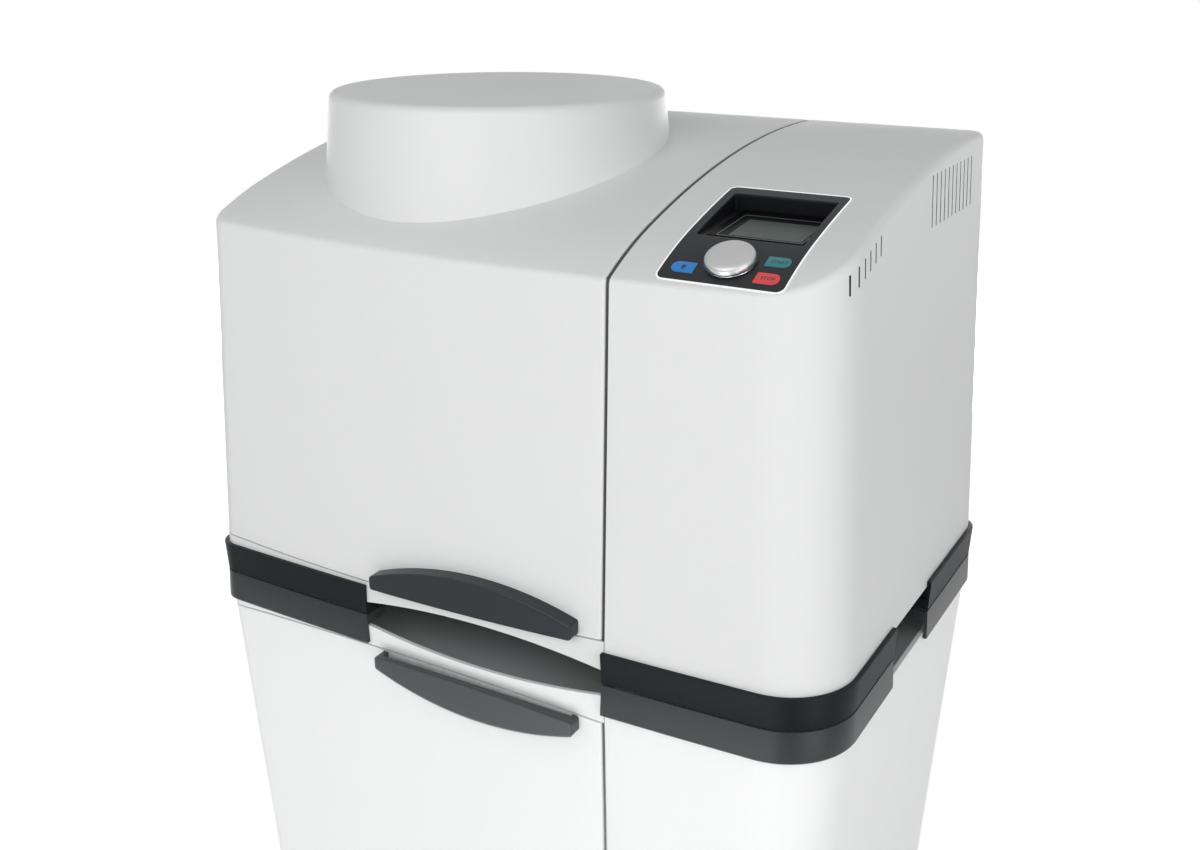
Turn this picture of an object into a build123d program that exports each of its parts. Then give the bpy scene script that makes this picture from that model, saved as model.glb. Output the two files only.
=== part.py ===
from build123d import *
import os
from math import asin, cos, degrees, pi, radians, sin, sqrt, tan

# Planetary ball mill with one grinding station, millimetres, +Z up.
# The front looks along -Y, the hood is on the left (-X) and the control side on the right (+X).

os.makedirs("parts", exist_ok=True)

# ---------------------------------------------------------------- outer form
half_width = 315.5          # at the lower edge of the casing
side_draft = 3.2            # degrees, both sides lean inwards
front_reach = 205.6         # front wall at the lower edge, on the middle line
front_draft = 1.45          # degrees
front_bow = 8.0             # how far the front wall curves back at its ends
rear_reach = 213.5
casing_low = 24.0           # lower edge of the casing
wall = 4.0
right_corner = 62.0         # plan radius of the front corner at the control side
left_corner = 19.0
rear_corner = 22.0
top_edge_radius = 7.0

# The top is a crown of two arcs: a long one and a tighter nose above the front edge.
crown_top = 417.8
crown_apex_y = 168.0
crown_radius = 1000.0
nose_radius = 330.0
nose_join_y = -130.0

# ---------------------------------------------------------------- seams
seam_x = 119.5              # between the hood and the control side
seam_gap = 3.0
hood_seam_round = 3.0       # the hood's edge along the seam
side_seam_round = 1.0
hood_low_mid = 33.5         # lower edge of the hood under its middle
hood_low_end = 40.0         # and at its ends
hood_rear_y = 148.0         # the left wall of the hood ends here
hood_lip_low = 373.5        # lower edge of the short rear lip
part_gap = 3.0              # between the hood and the fixed rear cover

# ---------------------------------------------------------------- dome over the grinding station
station_x = -106.0          # main axis of the drive, on y = 0
dome_top = 456.0
dome_radius = 154.0         # at the top
dome_draft = 5.7            # degrees
dome_edge = 8.0
dome_low = 320.0            # the dome's sides run on inside the crown down to here

# ---------------------------------------------------------------- skirts, rim and feet
skirt_top = 29.4
skirt_low = 1.0
skirt_proud_top = 4.5
skirt_proud_low = 1.5
skirt_gap = 0.4
skirt_front_left_end = -129.0
skirt_side_end = -45.0
skirt_rear_start = 54.0
skirt_rear_inner = 120.0
rim_low = 12.0
rim_arch_mid = 22.0
rim_gap = 1.5
foot_radius = 20.0
foot_x, foot_y = 262.0, 158.0

# ---------------------------------------------------------------- base and chamber
plate_low, plate_thick = 28.0, 6.0
plate_top = plate_low + plate_thick
deck_top = 200.0
chamber_inset = 14.0
chamber_right = 112.0
chamber_rear = 188.0
basin_radius = 150.0
basin_wall = 3.5
basin_floor = 100.0
basin_neck = 34.0
belt_window_y, belt_window_top = 76.0, 68.0
hinge_foot, hinge_foot_thick = 44.0, 5.0

# ---------------------------------------------------------------- drive
shaft_radius = 17.5
running_gap = 0.05
bearing_radius = 27.0
tube_radius = 33.0
pulley_low, pulley_top = 40.0, 62.0
main_pulley_radius = 60.0
motor_pulley_radius = 30.0
motor_x = 206.0
motor_shaft_radius = 9.5
motor_radius = 63.0
motor_low, motor_high = 88.0, 262.0
motor_flange, motor_cap = 10.0, 34.0
belt_thick, belt_gap = 3.0, 0.3
bridge_low, bridge_thick = 74.0, 8.0
planet_offset = 70.5
planet_low, planet_top = 114.0, 130.0
fixed_pulley_radius = 42.0
planet_pulley_radius = 21.0
planet_shaft_radius = 12.0
planet_bearing_radius = 26.0
planet_belt_thick = 2.0
wheel_radius = 132.0
wheel_low, wheel_top = 138.0, 154.0
planet_y = -planet_offset

# ---------------------------------------------------------------- grinding station
holder_low, holder_base = 158.0, 10.0
jar_radius = 55.0
jar_gap = 0.5
cup_wall = 5.5
cup_top = 206.0
jar_wall, jar_floor = 5.0, 6.0
jar_top = 268.0
lid_top = 282.0
boss_radius, boss_high = 14.0, 8.0
arm_thick, arm_half = 7.0, 15.0
arm_top = 330.0
bridge_bar_low, bridge_bar_high, bridge_bar_half = 299.0, 315.0, 13.0
screw_radius = 8.0
knob_low, knob_high, knob_radius = 322.0, 342.0, 30.0
ball_radius = 10.0

# ---------------------------------------------------------------- hinge of the hood
hinge_behind = 20.0         # from the hinge axis to the rear wall
hinge_y, hinge_z = rear_reach - hinge_behind, 396.0
knuckle_radius = 10.0
hinge_pin_radius = 4.0
hinge_places = (-236.0, 30.0)
bracket_half = 8.0
arm_gap = 0.5
hinge_arm_wide = 12.0
cover_top = 370.0           # rear cover stops under the swing of the hood's rear lip

# ---------------------------------------------------------------- lock of the hood
lock_x, lock_z = 60.0, 90.0
lock_half, lock_deep = 17.0, 40.0
bolt_radius, bolt_long = 5.0, 44.0
striker_wide, striker_tall, striker_hole = 40.0, 36.0, 11.6
striker_gap = 1.2           # from the closed hood's striker to the chamber's front

# ---------------------------------------------------------------- control panel
panel_x0, panel_x1 = 155.5, 257.5
panel_y0, panel_y1 = -188.5, -50.0
panel_proud, panel_thick = 0.2, 3.0
panel_gap = 0.3
panel_corner = 6.0
well_x0, well_x1 = 163.0, 251.0
well_y0, well_y1 = -134.0, -60.0
well_tilt = 6.0             # degrees, the floor of the display well
well_wall = 2.0
glass_x0, glass_x1, glass_y0, glass_y1, glass_thick = 184.0, 247.0, -128.0, -85.0, 1.2
turn_x, turn_y = 207.0, -165.0
turn_radius, turn_high = 19.8, 10.5
key_long, key_wide, key_gap = 19.0, 12.0, 0.3
key_proud, key_deep = 0.7, 6.0
board_y, board_below = -165.0, 11.0
board_post_x, board_post_y, board_post_radius = 19.0, 17.0, 2.5
key_places = {"key_light": (173.0, -175.0, -1), "key_start": (242.0, -158.0, 1), "key_stop": (241.0, -176.5, 1)}

# ---------------------------------------------------------------- vents
tall_count, tall_pitch, tall_y0 = 11, 11.7, 39.0
tall_low, tall_high, vent_wide = 358.0, 401.5, 2.4
vent_below_crown, vent_depth_x = 8.0, 288.0
short_count, short_pitch, short_y0, short_tall = 6, 11.7, -150.0, 15.5

# ---------------------------------------------------------------- rear panel
rear_x, rear_half, rear_low, rear_high = 199.0, 67.0, 56.0, 330.0
fan_z, fan_radius, fan_half, fan_deep = 262.0, 37.0, 40.0, 25.0
inlet_x, switch_x, inlet_z = 170.0, 228.0, 92.0


# Centre of the long arc and of the nose, which meet without a kink.
crown_centre = (crown_apex_y, crown_top - crown_radius)
join_z = crown_centre[1] + sqrt(crown_radius ** 2 - (nose_join_y - crown_centre[0]) ** 2)
lean = asin((crown_centre[0] - nose_join_y) / crown_radius)
nose_centre = (nose_join_y + nose_radius * sin(lean), join_z - nose_radius * cos(lean))


def crown_height(y, inset=0.0):
    """Height of the crown at depth y, measured to a surface that lies inset below it."""
    centre, radius = (crown_centre, crown_radius) if y > nose_join_y else (nose_centre, nose_radius)
    return centre[1] + sqrt((radius - inset) ** 2 - (y - centre[0]) ** 2)


def crown_slope(y):
    """Forward lean of the crown's surface at depth y, in degrees."""
    centre, radius = (crown_centre, crown_radius) if y > nose_join_y else (nose_centre, nose_radius)
    return degrees(asin((centre[0] - y) / radius))


def side_reach(z):
    return half_width - (z - casing_low) * tan(radians(side_draft))


def front_line(z):
    return -front_reach + (z - casing_low) * tan(radians(front_draft))


def outline(z, inset):
    """Plan outline of the casing at height z, drawn inset inside the outer surface."""
    a, back = side_reach(z) - inset, rear_reach - inset
    ends, middle = front_line(z) + front_bow + inset, front_line(z) + inset
    with BuildSketch(Plane.XY.offset(z)) as plan:
        with BuildLine():
            ThreePointArc((-a, ends), (0, middle), (a, ends))
            Polyline((a, ends), (a, back), (-a, back), (-a, ends))
        make_face()
        for spot, radius in (
            ((a, ends), right_corner),
            ((-a, ends), left_corner),
            ((a, back), rear_corner),
            ((-a, back), rear_corner),
        ):
            corner = plan.vertices().sort_by_distance((*spot, z))[0]
            fillet(corner, max(radius - inset, 2.0))
    return plan.sketch


def crown_band(inset, low):
    """Solid under a surface inset below the crown, wide enough to trim anything."""
    reach = 245.0
    join = lambda shift: (
        nose_centre[0] - (nose_radius - shift) * sin(lean),
        nose_centre[1] + (nose_radius - shift) * cos(lean),
    )
    start, end = (-reach, crown_height(-reach, inset)), (reach, crown_height(reach, inset))
    nose_mid = (0.5 * (-reach + join(inset)[0]), crown_height(0.5 * (-reach + join(inset)[0]), inset))
    long_mid = (50.0, crown_height(50.0, inset))
    with BuildPart() as band:
        with BuildSketch(Plane.YZ):
            with BuildLine():
                ThreePointArc(start, nose_mid, join(inset))
                ThreePointArc(join(inset), long_mid, end)
                Polyline(end, (reach, low), (-reach, low), start)
            make_face()
        extrude(amount=340, both=True)
    return band.part


def enclosure(inset, low, rounded=False):
    """The closed form of the casing, inset inside its outer surface."""
    high = crown_top + 20
    low_plan, high_plan = outline(low, inset), outline(high, inset)
    band = crown_band(inset, low - 1)
    with BuildPart() as form:
        add(low_plan)
        add(high_plan)
        loft(ruled=True)
        add(band, mode=Mode.INTERSECT)
        if rounded:
            top = form.faces().filter_by(lambda f: f.normal_at().Z > 0.6)
            # The join of the two crown arcs stays as it is.
            rim = [e for e in top.edges() if abs(e.center().Z - join_z) > 6 or abs(e.center().X) > 200]
            fillet(rim, top_edge_radius)
    return form.part


def seam_edges(part, last):
    """Outer edges of a form along the seam: its last face in X or its first, without foot and back."""
    face = part.faces().sort_by(Axis.X)[-1 if last else 0]
    return [e for e in face.edges() if e.center().Z > casing_low + wall and e.center().Y < rear_reach - wall]


def ring(outer, inner, low, high, place=(0, 0)):
    """Plain round ring or disc on a vertical axis."""
    with BuildPart(Plane.XY.offset(low)) as body:
        with BuildSketch(Plane.XY.offset(low)):
            with Locations(place):
                Circle(outer)
                if inner:
                    Circle(inner, mode=Mode.SUBTRACT)
        extrude(amount=high - low)
    return body.part


def cut_box(x0, x1, y0, y1, z0, z1):
    """Plain block used as a cutter."""
    with BuildPart() as block:
        with Locations(((x0 + x1) / 2, (y0 + y1) / 2, (z0 + z1) / 2)):
            Box(x1 - x0, y1 - y0, z1 - z0)
    return block.part


def lower_edge(shift):
    """Everything below the curved lower edge of the hood, moved down by shift."""
    x_mid, reach = 0.5 * (seam_x - side_reach(40)), 330.0
    with BuildPart() as below:
        with BuildSketch(Plane.XZ):
            with BuildLine():
                left, right = (x_mid - 215, hood_low_end - shift), (x_mid + 215, hood_low_end - shift)
                ThreePointArc(left, (x_mid, hood_low_mid - shift), right)
                Polyline(right, (reach, hood_low_end - shift), (reach, -9), (-reach * 1.5, -9),
                         (-reach * 1.5, hood_low_end - shift), left)
            make_face()
        extrude(amount=300, both=True)
    return below.part


outer_form = enclosure(0.0, casing_low, rounded=True)
inner_form = enclosure(wall, casing_low - 2)


def cone(low, inset):
    """The dome above height low, inset inside its outer surface."""
    spread = tan(radians(dome_draft))
    with BuildPart() as body:
        with Locations((station_x, 0, low)):
            Cone(dome_radius - inset + (dome_top - low) * spread, dome_radius - inset, dome_top - inset - low,
                 align=(Align.CENTER, Align.CENTER, Align.MIN))
        fillet(body.edges().sort_by(Axis.Z)[-1], dome_edge - min(inset, dome_edge - 3))
    return body.part


def save(part, name):
    part.label = name
    export_step(part, f"parts/{name}.step")


# ================================================================ hood
hood_right = seam_x - seam_gap / 2
dome_form, dome_hollow = cone(dome_low, 0.0), cone(dome_low - 10, wall)
below_hood = lower_edge(0.0)
rear_gap = cut_box(-400, 400, hood_rear_y, 400, 0, hood_lip_low)
with BuildPart() as hood:
    add(outer_form)
    add(dome_form)
    split(bisect_by=Plane.YZ.offset(hood_right), keep=Keep.BOTTOM)
    fillet(seam_edges(hood, True), hood_seam_round)
    add(inner_form, mode=Mode.SUBTRACT)
    add(dome_hollow, mode=Mode.SUBTRACT)
    add(below_hood, mode=Mode.SUBTRACT)
    add(rear_gap, mode=Mode.SUBTRACT)
save(hood.part, "hood")

# Handle: a crescent along the lower front of the hood, with a grip groove under it.
handle_left, handle_right = -114.5, 96.5
handle_left_end, handle_peak, handle_right_end = 47.0, 68.3, 53.0   # heights of its upper line
handle_left_low, handle_mid_low, handle_right_low = 34.2, 35.0, 39.2
handle_peak_x, handle_mid_x = 5.0, -10.0
handle_corner, handle_edge, handle_grip = 3.0, 1.4, 9.0
handle_proud, handle_lean = 12.4, 2.4
with BuildPart() as hood_handle:
    with BuildSketch(Plane.XZ.offset(front_reach + handle_proud)) as crescent:
        with BuildLine():
            ThreePointArc((handle_left, handle_left_end), (handle_peak_x, handle_peak),
                          (handle_right, handle_right_end))
            Line((handle_right, handle_right_end), (handle_right, handle_right_low))
            ThreePointArc((handle_right, handle_right_low), (handle_mid_x, handle_mid_low),
                          (handle_left, handle_left_low))
            Line((handle_left, handle_left_low), (handle_left, handle_left_end))
        make_face()
        fillet(crescent.vertices(), handle_corner)
    extrude(amount=-(handle_proud + 14))
    add(outer_form, mode=Mode.SUBTRACT)
    fillet(hood_handle.faces().sort_by(Axis.Y)[0].edges(), handle_edge)
    with BuildSketch(Plane.YZ.offset(handle_left + 6)):
        with BuildLine():
            Polyline((-front_reach - 8, handle_left_low - 1), (-front_reach + 2, handle_left_low - 1),
                     (-front_reach + 2, handle_left_low + handle_grip), (-front_reach - 8, handle_left_low - 1))
        make_face()
    extrude(amount=handle_right - handle_left - 12, mode=Mode.SUBTRACT)
save(hood_handle.part, "hood_handle")

# ================================================================ fixed casing
partition_x = seam_x + seam_gap / 2
belt_window = cut_box(90, 140, -belt_window_y, belt_window_y, 20, belt_window_top)
with BuildPart() as inner_right:
    add(inner_form)
    split(bisect_by=Plane.YZ.offset(partition_x + wall), keep=Keep.TOP)
plate_room = cut_box(partition_x - 1, partition_x + wall + 1, front_line(plate_low) + wall + 1.5,
                     rear_reach - wall, casing_low - 1,
                     plate_top + 0.3)
with BuildPart() as side_housing:
    add(outer_form)
    split(bisect_by=Plane.YZ.offset(partition_x), keep=Keep.TOP)
    fillet(seam_edges(side_housing, False), side_seam_round)
    add(inner_right.part, mode=Mode.SUBTRACT)
    add(belt_window, mode=Mode.SUBTRACT)
    # Tall vent slots under the top edge of the side wall.
    with BuildSketch(Plane.YZ.offset(vent_depth_x)):
        for n in range(tall_count):
            y = tall_y0 + n * tall_pitch
            high = min(tall_high, crown_height(y) - vent_below_crown)
            with Locations((y, (tall_low + high) / 2)):
                Rectangle(vent_wide, high - tall_low)
    extrude(amount=80, mode=Mode.SUBTRACT)
    # Short slots that climb with the crown.
    with BuildSketch(Plane.YZ.offset(vent_depth_x - 15)):
        for n in range(short_count):
            y = short_y0 + n * short_pitch
            with Locations((y, crown_height(y) - vent_below_crown - short_tall / 2)):
                Rectangle(vent_wide, short_tall)
    extrude(amount=80, mode=Mode.SUBTRACT)
    # Opening under the control panel.
    with BuildSketch(Plane.XY.offset(300)):
        with Locations(((panel_x0 + panel_x1) / 2, (panel_y0 + panel_y1) / 2)):
            RectangleRounded(panel_x1 - panel_x0 + 2 * panel_gap, panel_y1 - panel_y0 + 2 * panel_gap,
                             panel_corner + panel_gap)
    extrude(amount=130, mode=Mode.SUBTRACT)
    # The partition stops above the base plate, between the front and the rear wall.
    add(plate_room, mode=Mode.SUBTRACT)
    # Opening for the rear panel.
    with BuildSketch(Plane.XZ.offset(-rear_reach - 5)):
        with Locations((rear_x, (rear_low + rear_high) / 2)):
            RectangleRounded(2 * rear_half, rear_high - rear_low, 8)
    extrude(amount=20, mode=Mode.SUBTRACT)
save(side_housing.part, "side_housing")

# Rear cover behind the chamber, on the hood's side.
cover_front = hood_rear_y + part_gap / 3
with BuildPart() as rear_cover:
    add(outer_form)
    split(bisect_by=Plane.YZ.offset(hood_right), keep=Keep.BOTTOM)
    split(bisect_by=Plane.XZ.offset(-cover_front), keep=Keep.BOTTOM)
    split(bisect_by=Plane.XY.offset(cover_top), keep=Keep.BOTTOM)
    split(bisect_by=Plane.XY.offset(hood_low_end - rim_gap + 0.5), keep=Keep.TOP)
    add(inner_form, mode=Mode.SUBTRACT)
save(rear_cover.part, "rear_cover")

# Base rim under the hood, arched over the floor at the front.
below_rim_edge = lower_edge(rim_gap)
with BuildPart() as base_rim:
    add(outline(rim_low, 0.0))
    add(outline(hood_low_end, 0.0))
    loft(ruled=True)
    add(below_rim_edge, mode=Mode.INTERSECT)
    add(outline(rim_low - 1, wall))
    extrude(amount=40, mode=Mode.SUBTRACT)
    split(bisect_by=Plane.YZ.offset(partition_x - 0.4), keep=Keep.BOTTOM)
    with BuildSketch(Plane.XZ):
        with BuildLine():
            ThreePointArc((skirt_front_left_end, rim_low), (0.5 * (skirt_front_left_end + seam_x), rim_arch_mid),
                          (seam_x, rim_low))
            Polyline((seam_x, rim_low), (partition_x, rim_low), (partition_x, 0), (skirt_front_left_end, 0),
                     (skirt_front_left_end, rim_low))
        make_face()
    extrude(amount=300, mode=Mode.SUBTRACT)
save(base_rim.part, "base_rim")


# Corner skirts: one drafted ring, cut into four.
with BuildPart() as skirt_ring:
    add(outline(skirt_low, -skirt_proud_low))
    add(outline(skirt_top, -skirt_proud_top))
    loft(ruled=True)
    fillet(skirt_ring.faces().sort_by(Axis.Z)[-1].edges(), 0.8)
with BuildPart() as skirt_hollow:
    add(outline(skirt_low - 1, -skirt_gap))
    add(outline(skirt_top + 1, -skirt_gap))
    loft(ruled=True)

skirt_zones = {
    "front_left_skirt": (-400, skirt_front_left_end, -400, skirt_side_end),
    "front_right_skirt": (seam_x, 400, -400, skirt_side_end),
    "rear_left_skirt": (-400, -skirt_rear_inner, skirt_rear_start, 400),
    "rear_right_skirt": (skirt_rear_inner, 400, skirt_rear_start, 400),
}
for name, (x0, x1, y0, y1) in skirt_zones.items():
    zone = cut_box(x0, x1, y0, y1, 0, 60)
    right, front = x1 == 400, y0 == -400
    rib_x = x0 if right else x1
    rib_y = y1 if front else y0
    inner_side = 4.0 if right else -4.0
    inner_front = -4.0 if front else 4.0
    across = cut_box(min(rib_x, rib_x + inner_side), max(rib_x, rib_x + inner_side),
                     -240 if front else 180, -180 if front else 240, skirt_low + 1, rim_low - 1)
    along = cut_box(290 if right else -340, 340 if right else -290,
                    min(rib_y, rib_y + inner_front), max(rib_y, rib_y + inner_front), skirt_low + 1, rim_low - 1)
    with BuildPart() as ribs:
        add(across)
        add(along)
        add(skirt_ring.part, mode=Mode.INTERSECT)
    with BuildPart() as skirt:
        add(skirt_ring.part)
        add(skirt_hollow.part, mode=Mode.SUBTRACT)
        add(zone, mode=Mode.INTERSECT)
        add(ribs.part)
    save(skirt.part, name)

# Rubber feet with their studs, under the base plate.
with BuildPart() as rubber_feet:
    with BuildSketch(Plane.XY):
        with GridLocations(2 * foot_x, 2 * foot_y, 2, 2):
            Circle(foot_radius)
    extrude(amount=16, taper=4)
    with BuildSketch(Plane.XY.offset(16)):
        with GridLocations(2 * foot_x, 2 * foot_y, 2, 2):
            Circle(6)
    extrude(amount=plate_low - 16)
save(rubber_feet.part, "rubber_feet")

# Base plate.
with BuildPart() as base_plate:
    add(outline(plate_low, wall + 1))
    extrude(amount=plate_thick)
    with BuildSketch(Plane.XY.offset(plate_low)):
        with Locations((station_x, 0)):
            Circle(26)
        with Locations((motor_x, 0)):
            Circle(14)
        with Locations((motor_x, 130)):
            for n in range(5):
                with Locations((0, -24 + 12 * n)):
                    SlotOverall(90, 5)
    extrude(amount=plate_thick, mode=Mode.SUBTRACT)
save(base_plate.part, "base_plate")

# ================================================================ chamber
chamber_front = front_line(lock_z) + chamber_inset + 30   # inside the chamber body, behind its front wall
with BuildPart() as chamber_core:
    add(outline(plate_top - 1, chamber_inset + wall))
    add(outline(deck_top - wall, chamber_inset + wall))
    loft(ruled=True)
    split(bisect_by=Plane.YZ.offset(chamber_right - wall), keep=Keep.BOTTOM)
    split(bisect_by=Plane.XZ.offset(-(chamber_rear - wall)), keep=Keep.TOP)
with BuildPart() as chamber_body:
    add(outline(plate_top, chamber_inset))
    add(outline(deck_top, chamber_inset))
    loft(ruled=True)
    split(bisect_by=Plane.YZ.offset(chamber_right), keep=Keep.BOTTOM)
    split(bisect_by=Plane.XZ.offset(-chamber_rear), keep=Keep.TOP)
    add(chamber_core.part, mode=Mode.SUBTRACT)
    add(belt_window, mode=Mode.SUBTRACT)
    with BuildSketch(Plane.XY.offset(deck_top - wall - 1)):
        with Locations((station_x, 0)):
            Circle(basin_radius + basin_wall + 0.5)
    extrude(amount=wall + 2, mode=Mode.SUBTRACT)
    # Hole that the lock bolt passes through.
    with BuildSketch(Plane.XZ.offset(-chamber_front)):
        with Locations((lock_x, lock_z)):
            Circle(bolt_radius + 1.5)
    extrude(amount=60, mode=Mode.SUBTRACT)
save(chamber_body.part, "chamber_body")

with BuildPart() as chamber_basin:
    with BuildSketch(Plane.XZ):
        with BuildLine():
            Polyline((basin_neck, basin_floor), (basin_radius + basin_wall - 10, basin_floor))
            RadiusArc((basin_radius + basin_wall - 10, basin_floor), (basin_radius + basin_wall, basin_floor + 10), -10)
            Polyline((basin_radius + basin_wall, basin_floor + 10), (basin_radius + basin_wall, deck_top),
                     (basin_radius + 12, deck_top), (basin_radius + 12, deck_top + 2.5), (basin_radius, deck_top + 2.5),
                     (basin_radius, basin_floor + 10))
            RadiusArc((basin_radius, basin_floor + 10), (basin_radius - 6.5, basin_floor + basin_wall), 6.5)
            Polyline((basin_radius - 6.5, basin_floor + basin_wall), (basin_neck + 4, basin_floor + basin_wall),
                     (basin_neck + 4, basin_floor + 9), (basin_neck, basin_floor + 9), (basin_neck, basin_floor))
        make_face()
    revolve(axis=Axis.Z)
    # Pressed dish below, rolled wall with its flange above.
    split(bisect_by=Plane.XY.offset(basin_floor + 10), keep=Keep.BOTH)
save(chamber_basin.part.moved(Location((station_x, 0, 0))), "chamber_basin")

seal_out = wall + 1.0
with BuildPart() as seal_strip:
    add(outline(deck_top, seal_out))
    extrude(amount=4)
    add(outline(deck_top - 1, chamber_inset + 6))
    extrude(amount=9, mode=Mode.SUBTRACT)
    split(bisect_by=Plane.YZ.offset(chamber_right), keep=Keep.BOTTOM)
    split(bisect_by=Plane.XZ.offset(-130), keep=Keep.TOP)
save(seal_strip.part, "chamber_seal")

# ================================================================ main drive
bridge_post_x, bridge_post_y = 55.0, 78.0
with BuildPart() as bearing_bridge:
    with BuildSketch(Plane.XY.offset(bridge_low)) as plate:
        with Locations((station_x, 0)):
            RectangleRounded(2 * bridge_post_x + 24, 2 * bridge_post_y + 24, 12)
            Circle(tube_radius + 0.3, mode=Mode.SUBTRACT)
    extrude(amount=bridge_thick)
    with BuildSketch(Plane.XY.offset(plate_top)):
        with Locations((station_x, 0)):
            with GridLocations(2 * bridge_post_x, 2 * bridge_post_y, 2, 2):
                Circle(8)
    extrude(amount=bridge_low - plate_top)
save(bearing_bridge.part, "bearing_bridge")

flange_low = bridge_low + bridge_thick
with BuildPart() as bearing_housing:
    with BuildSketch(Plane.XZ):
        with BuildLine():
            Polyline((bearing_radius, 66), (tube_radius, 66), (tube_radius, flange_low), (54, flange_low),
                     (54, flange_low + 8), (tube_radius + 6, flange_low + 10), (tube_radius, flange_low + 14),
                     (tube_radius, 132), (bearing_radius, 132), (bearing_radius, 66))
        make_face()
    revolve(axis=Axis.Z)
    with BuildSketch(Plane.XY.offset(flange_low)):
        with PolarLocations(46, 6):
            Circle(3.3)
    extrude(amount=20, mode=Mode.SUBTRACT)
save(bearing_housing.part.moved(Location((station_x, 0, 0))), "bearing_housing")

with BuildPart() as main_bearings:
    for low in (68.0, 114.0):
        with BuildSketch(Plane.XY.offset(low)):
            with Locations((station_x, 0)):
                Circle(bearing_radius)
                Circle(shaft_radius + running_gap, mode=Mode.SUBTRACT)
        extrude(amount=16)
save(main_bearings.part, "main_bearings")

fixed_pulley = ring(fixed_pulley_radius, tube_radius, planet_low, planet_top, (station_x, 0))
save(fixed_pulley, "fixed_pulley")

with BuildPart() as main_shaft:
    with BuildSketch(Plane.XZ):
        with BuildLine():
            Polyline((0, 38), (shaft_radius - 1.5, 38), (shaft_radius, 39.5), (shaft_radius, wheel_top + 2),
                     (12, wheel_top + 2), (12, wheel_top + 3.5), (0, wheel_top + 3.5), (0, 38))
        make_face()
    revolve(axis=Axis.Z)
save(main_shaft.part.moved(Location((station_x, 0, 0))), "main_shaft")


def drive_pulley(radius, bore):
    """Flanged pulley with three belt grooves, at height zero."""
    tall, lip = pulley_top - pulley_low, 2.0
    groove = (tall - 2 * lip) / 3
    with BuildPart() as body:
        with BuildSketch(Plane.XZ):
            with BuildLine():
                points = [(bore, 0), (radius + 3, 0), (radius + 3, lip), (radius, lip)]
                for n in range(3):
                    low = lip + n * groove
                    points += [(radius, low + 0.5), (radius - 2.2, low + groove / 2), (radius, low + groove - 0.5)]
                points += [(radius, tall - lip), (radius + 3, tall - lip), (radius + 3, tall), (bore, tall), (bore, 0)]
                Polyline(*points)
            make_face()
        revolve(axis=Axis.Z)
    return body.part


save(drive_pulley(main_pulley_radius, shaft_radius).moved(Location((station_x, 0, pulley_low))), "main_pulley")
save(drive_pulley(motor_pulley_radius, motor_shaft_radius).moved(Location((motor_x, 0, pulley_low))), "motor_pulley")


def belt(near, near_radius, far, far_radius, thick, low, high):
    """Open belt round two pulleys."""
    with BuildPart() as body:
        for extra, mode in ((belt_gap + thick, Mode.ADD), (belt_gap, Mode.SUBTRACT)):
            with BuildSketch(Plane.XY.offset(low)):
                with Locations(near):
                    Circle(near_radius + extra)
                with Locations(far):
                    Circle(far_radius + extra)
                make_hull()
            extrude(amount=high - low, mode=mode)
    return body.part


save(belt((station_x, 0), main_pulley_radius, (motor_x, 0), motor_pulley_radius, belt_thick,
          pulley_low + 2.5, pulley_top - 2.5), "drive_belt")
save(belt((station_x, 0), fixed_pulley_radius, (station_x, planet_y), planet_pulley_radius, planet_belt_thick,
          planet_low + 1.5, planet_top - 1.5), "planet_belt")

# Sun wheel with pockets between its ribs.
with BuildPart() as sun_wheel:
    with BuildSketch(Plane.XY.offset(wheel_low)):
        Circle(wheel_radius)
        Circle(shaft_radius, mode=Mode.SUBTRACT)
        with Locations((0, planet_y)):
            Circle(planet_bearing_radius, mode=Mode.SUBTRACT)
    extrude(amount=wheel_top - wheel_low)
    chamfer(sun_wheel.edges().filter_by(GeomType.CIRCLE).filter_by(lambda e: e.radius > wheel_radius - 1), 2)
    with BuildSketch(Plane.XY.offset(wheel_low)):
        for turn in (0, 180):
            with Locations(Location((0, 0, 0), (0, 0, turn))):
                SlotArc(CenterArc((0, 0), 80, -28, 56), 44)
    extrude(amount=8, mode=Mode.SUBTRACT)
save(sun_wheel.part.moved(Location((station_x, 0, 0))), "sun_wheel")

with BuildPart() as counterweight:
    with BuildSketch(Plane.XY.offset(wheel_top)):
        with BuildLine():
            CenterArc((0, 0), 124, 40, 100)
            CenterArc((0, 0), 62, 40, 100)
            Line((62 * cos(radians(40)), 62 * sin(radians(40))), (124 * cos(radians(40)), 124 * sin(radians(40))))
            Line((62 * cos(radians(140)), 62 * sin(radians(140))), (124 * cos(radians(140)), 124 * sin(radians(140))))
        make_face()
    extrude(amount=26)
    fillet(counterweight.faces().sort_by(Axis.Z)[-1].edges(), 3)
    with BuildSketch(Plane.XY.offset(wheel_top + 26)):
        with PolarLocations(93, 3, 60, 60):
            Circle(7)
    extrude(amount=-9, mode=Mode.SUBTRACT)
save(counterweight.part.moved(Location((station_x, 0, 0))), "counterweight")

planet = (station_x, planet_y)
save(ring(planet_bearing_radius, planet_shaft_radius + running_gap, wheel_low - 2, wheel_top + 2, planet),
     "planet_bearing")
save(ring(planet_shaft_radius, 0, planet_low - 2, holder_low, planet), "planet_shaft")
save(ring(planet_pulley_radius, planet_shaft_radius, planet_low, planet_top, planet), "planet_pulley")

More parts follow.
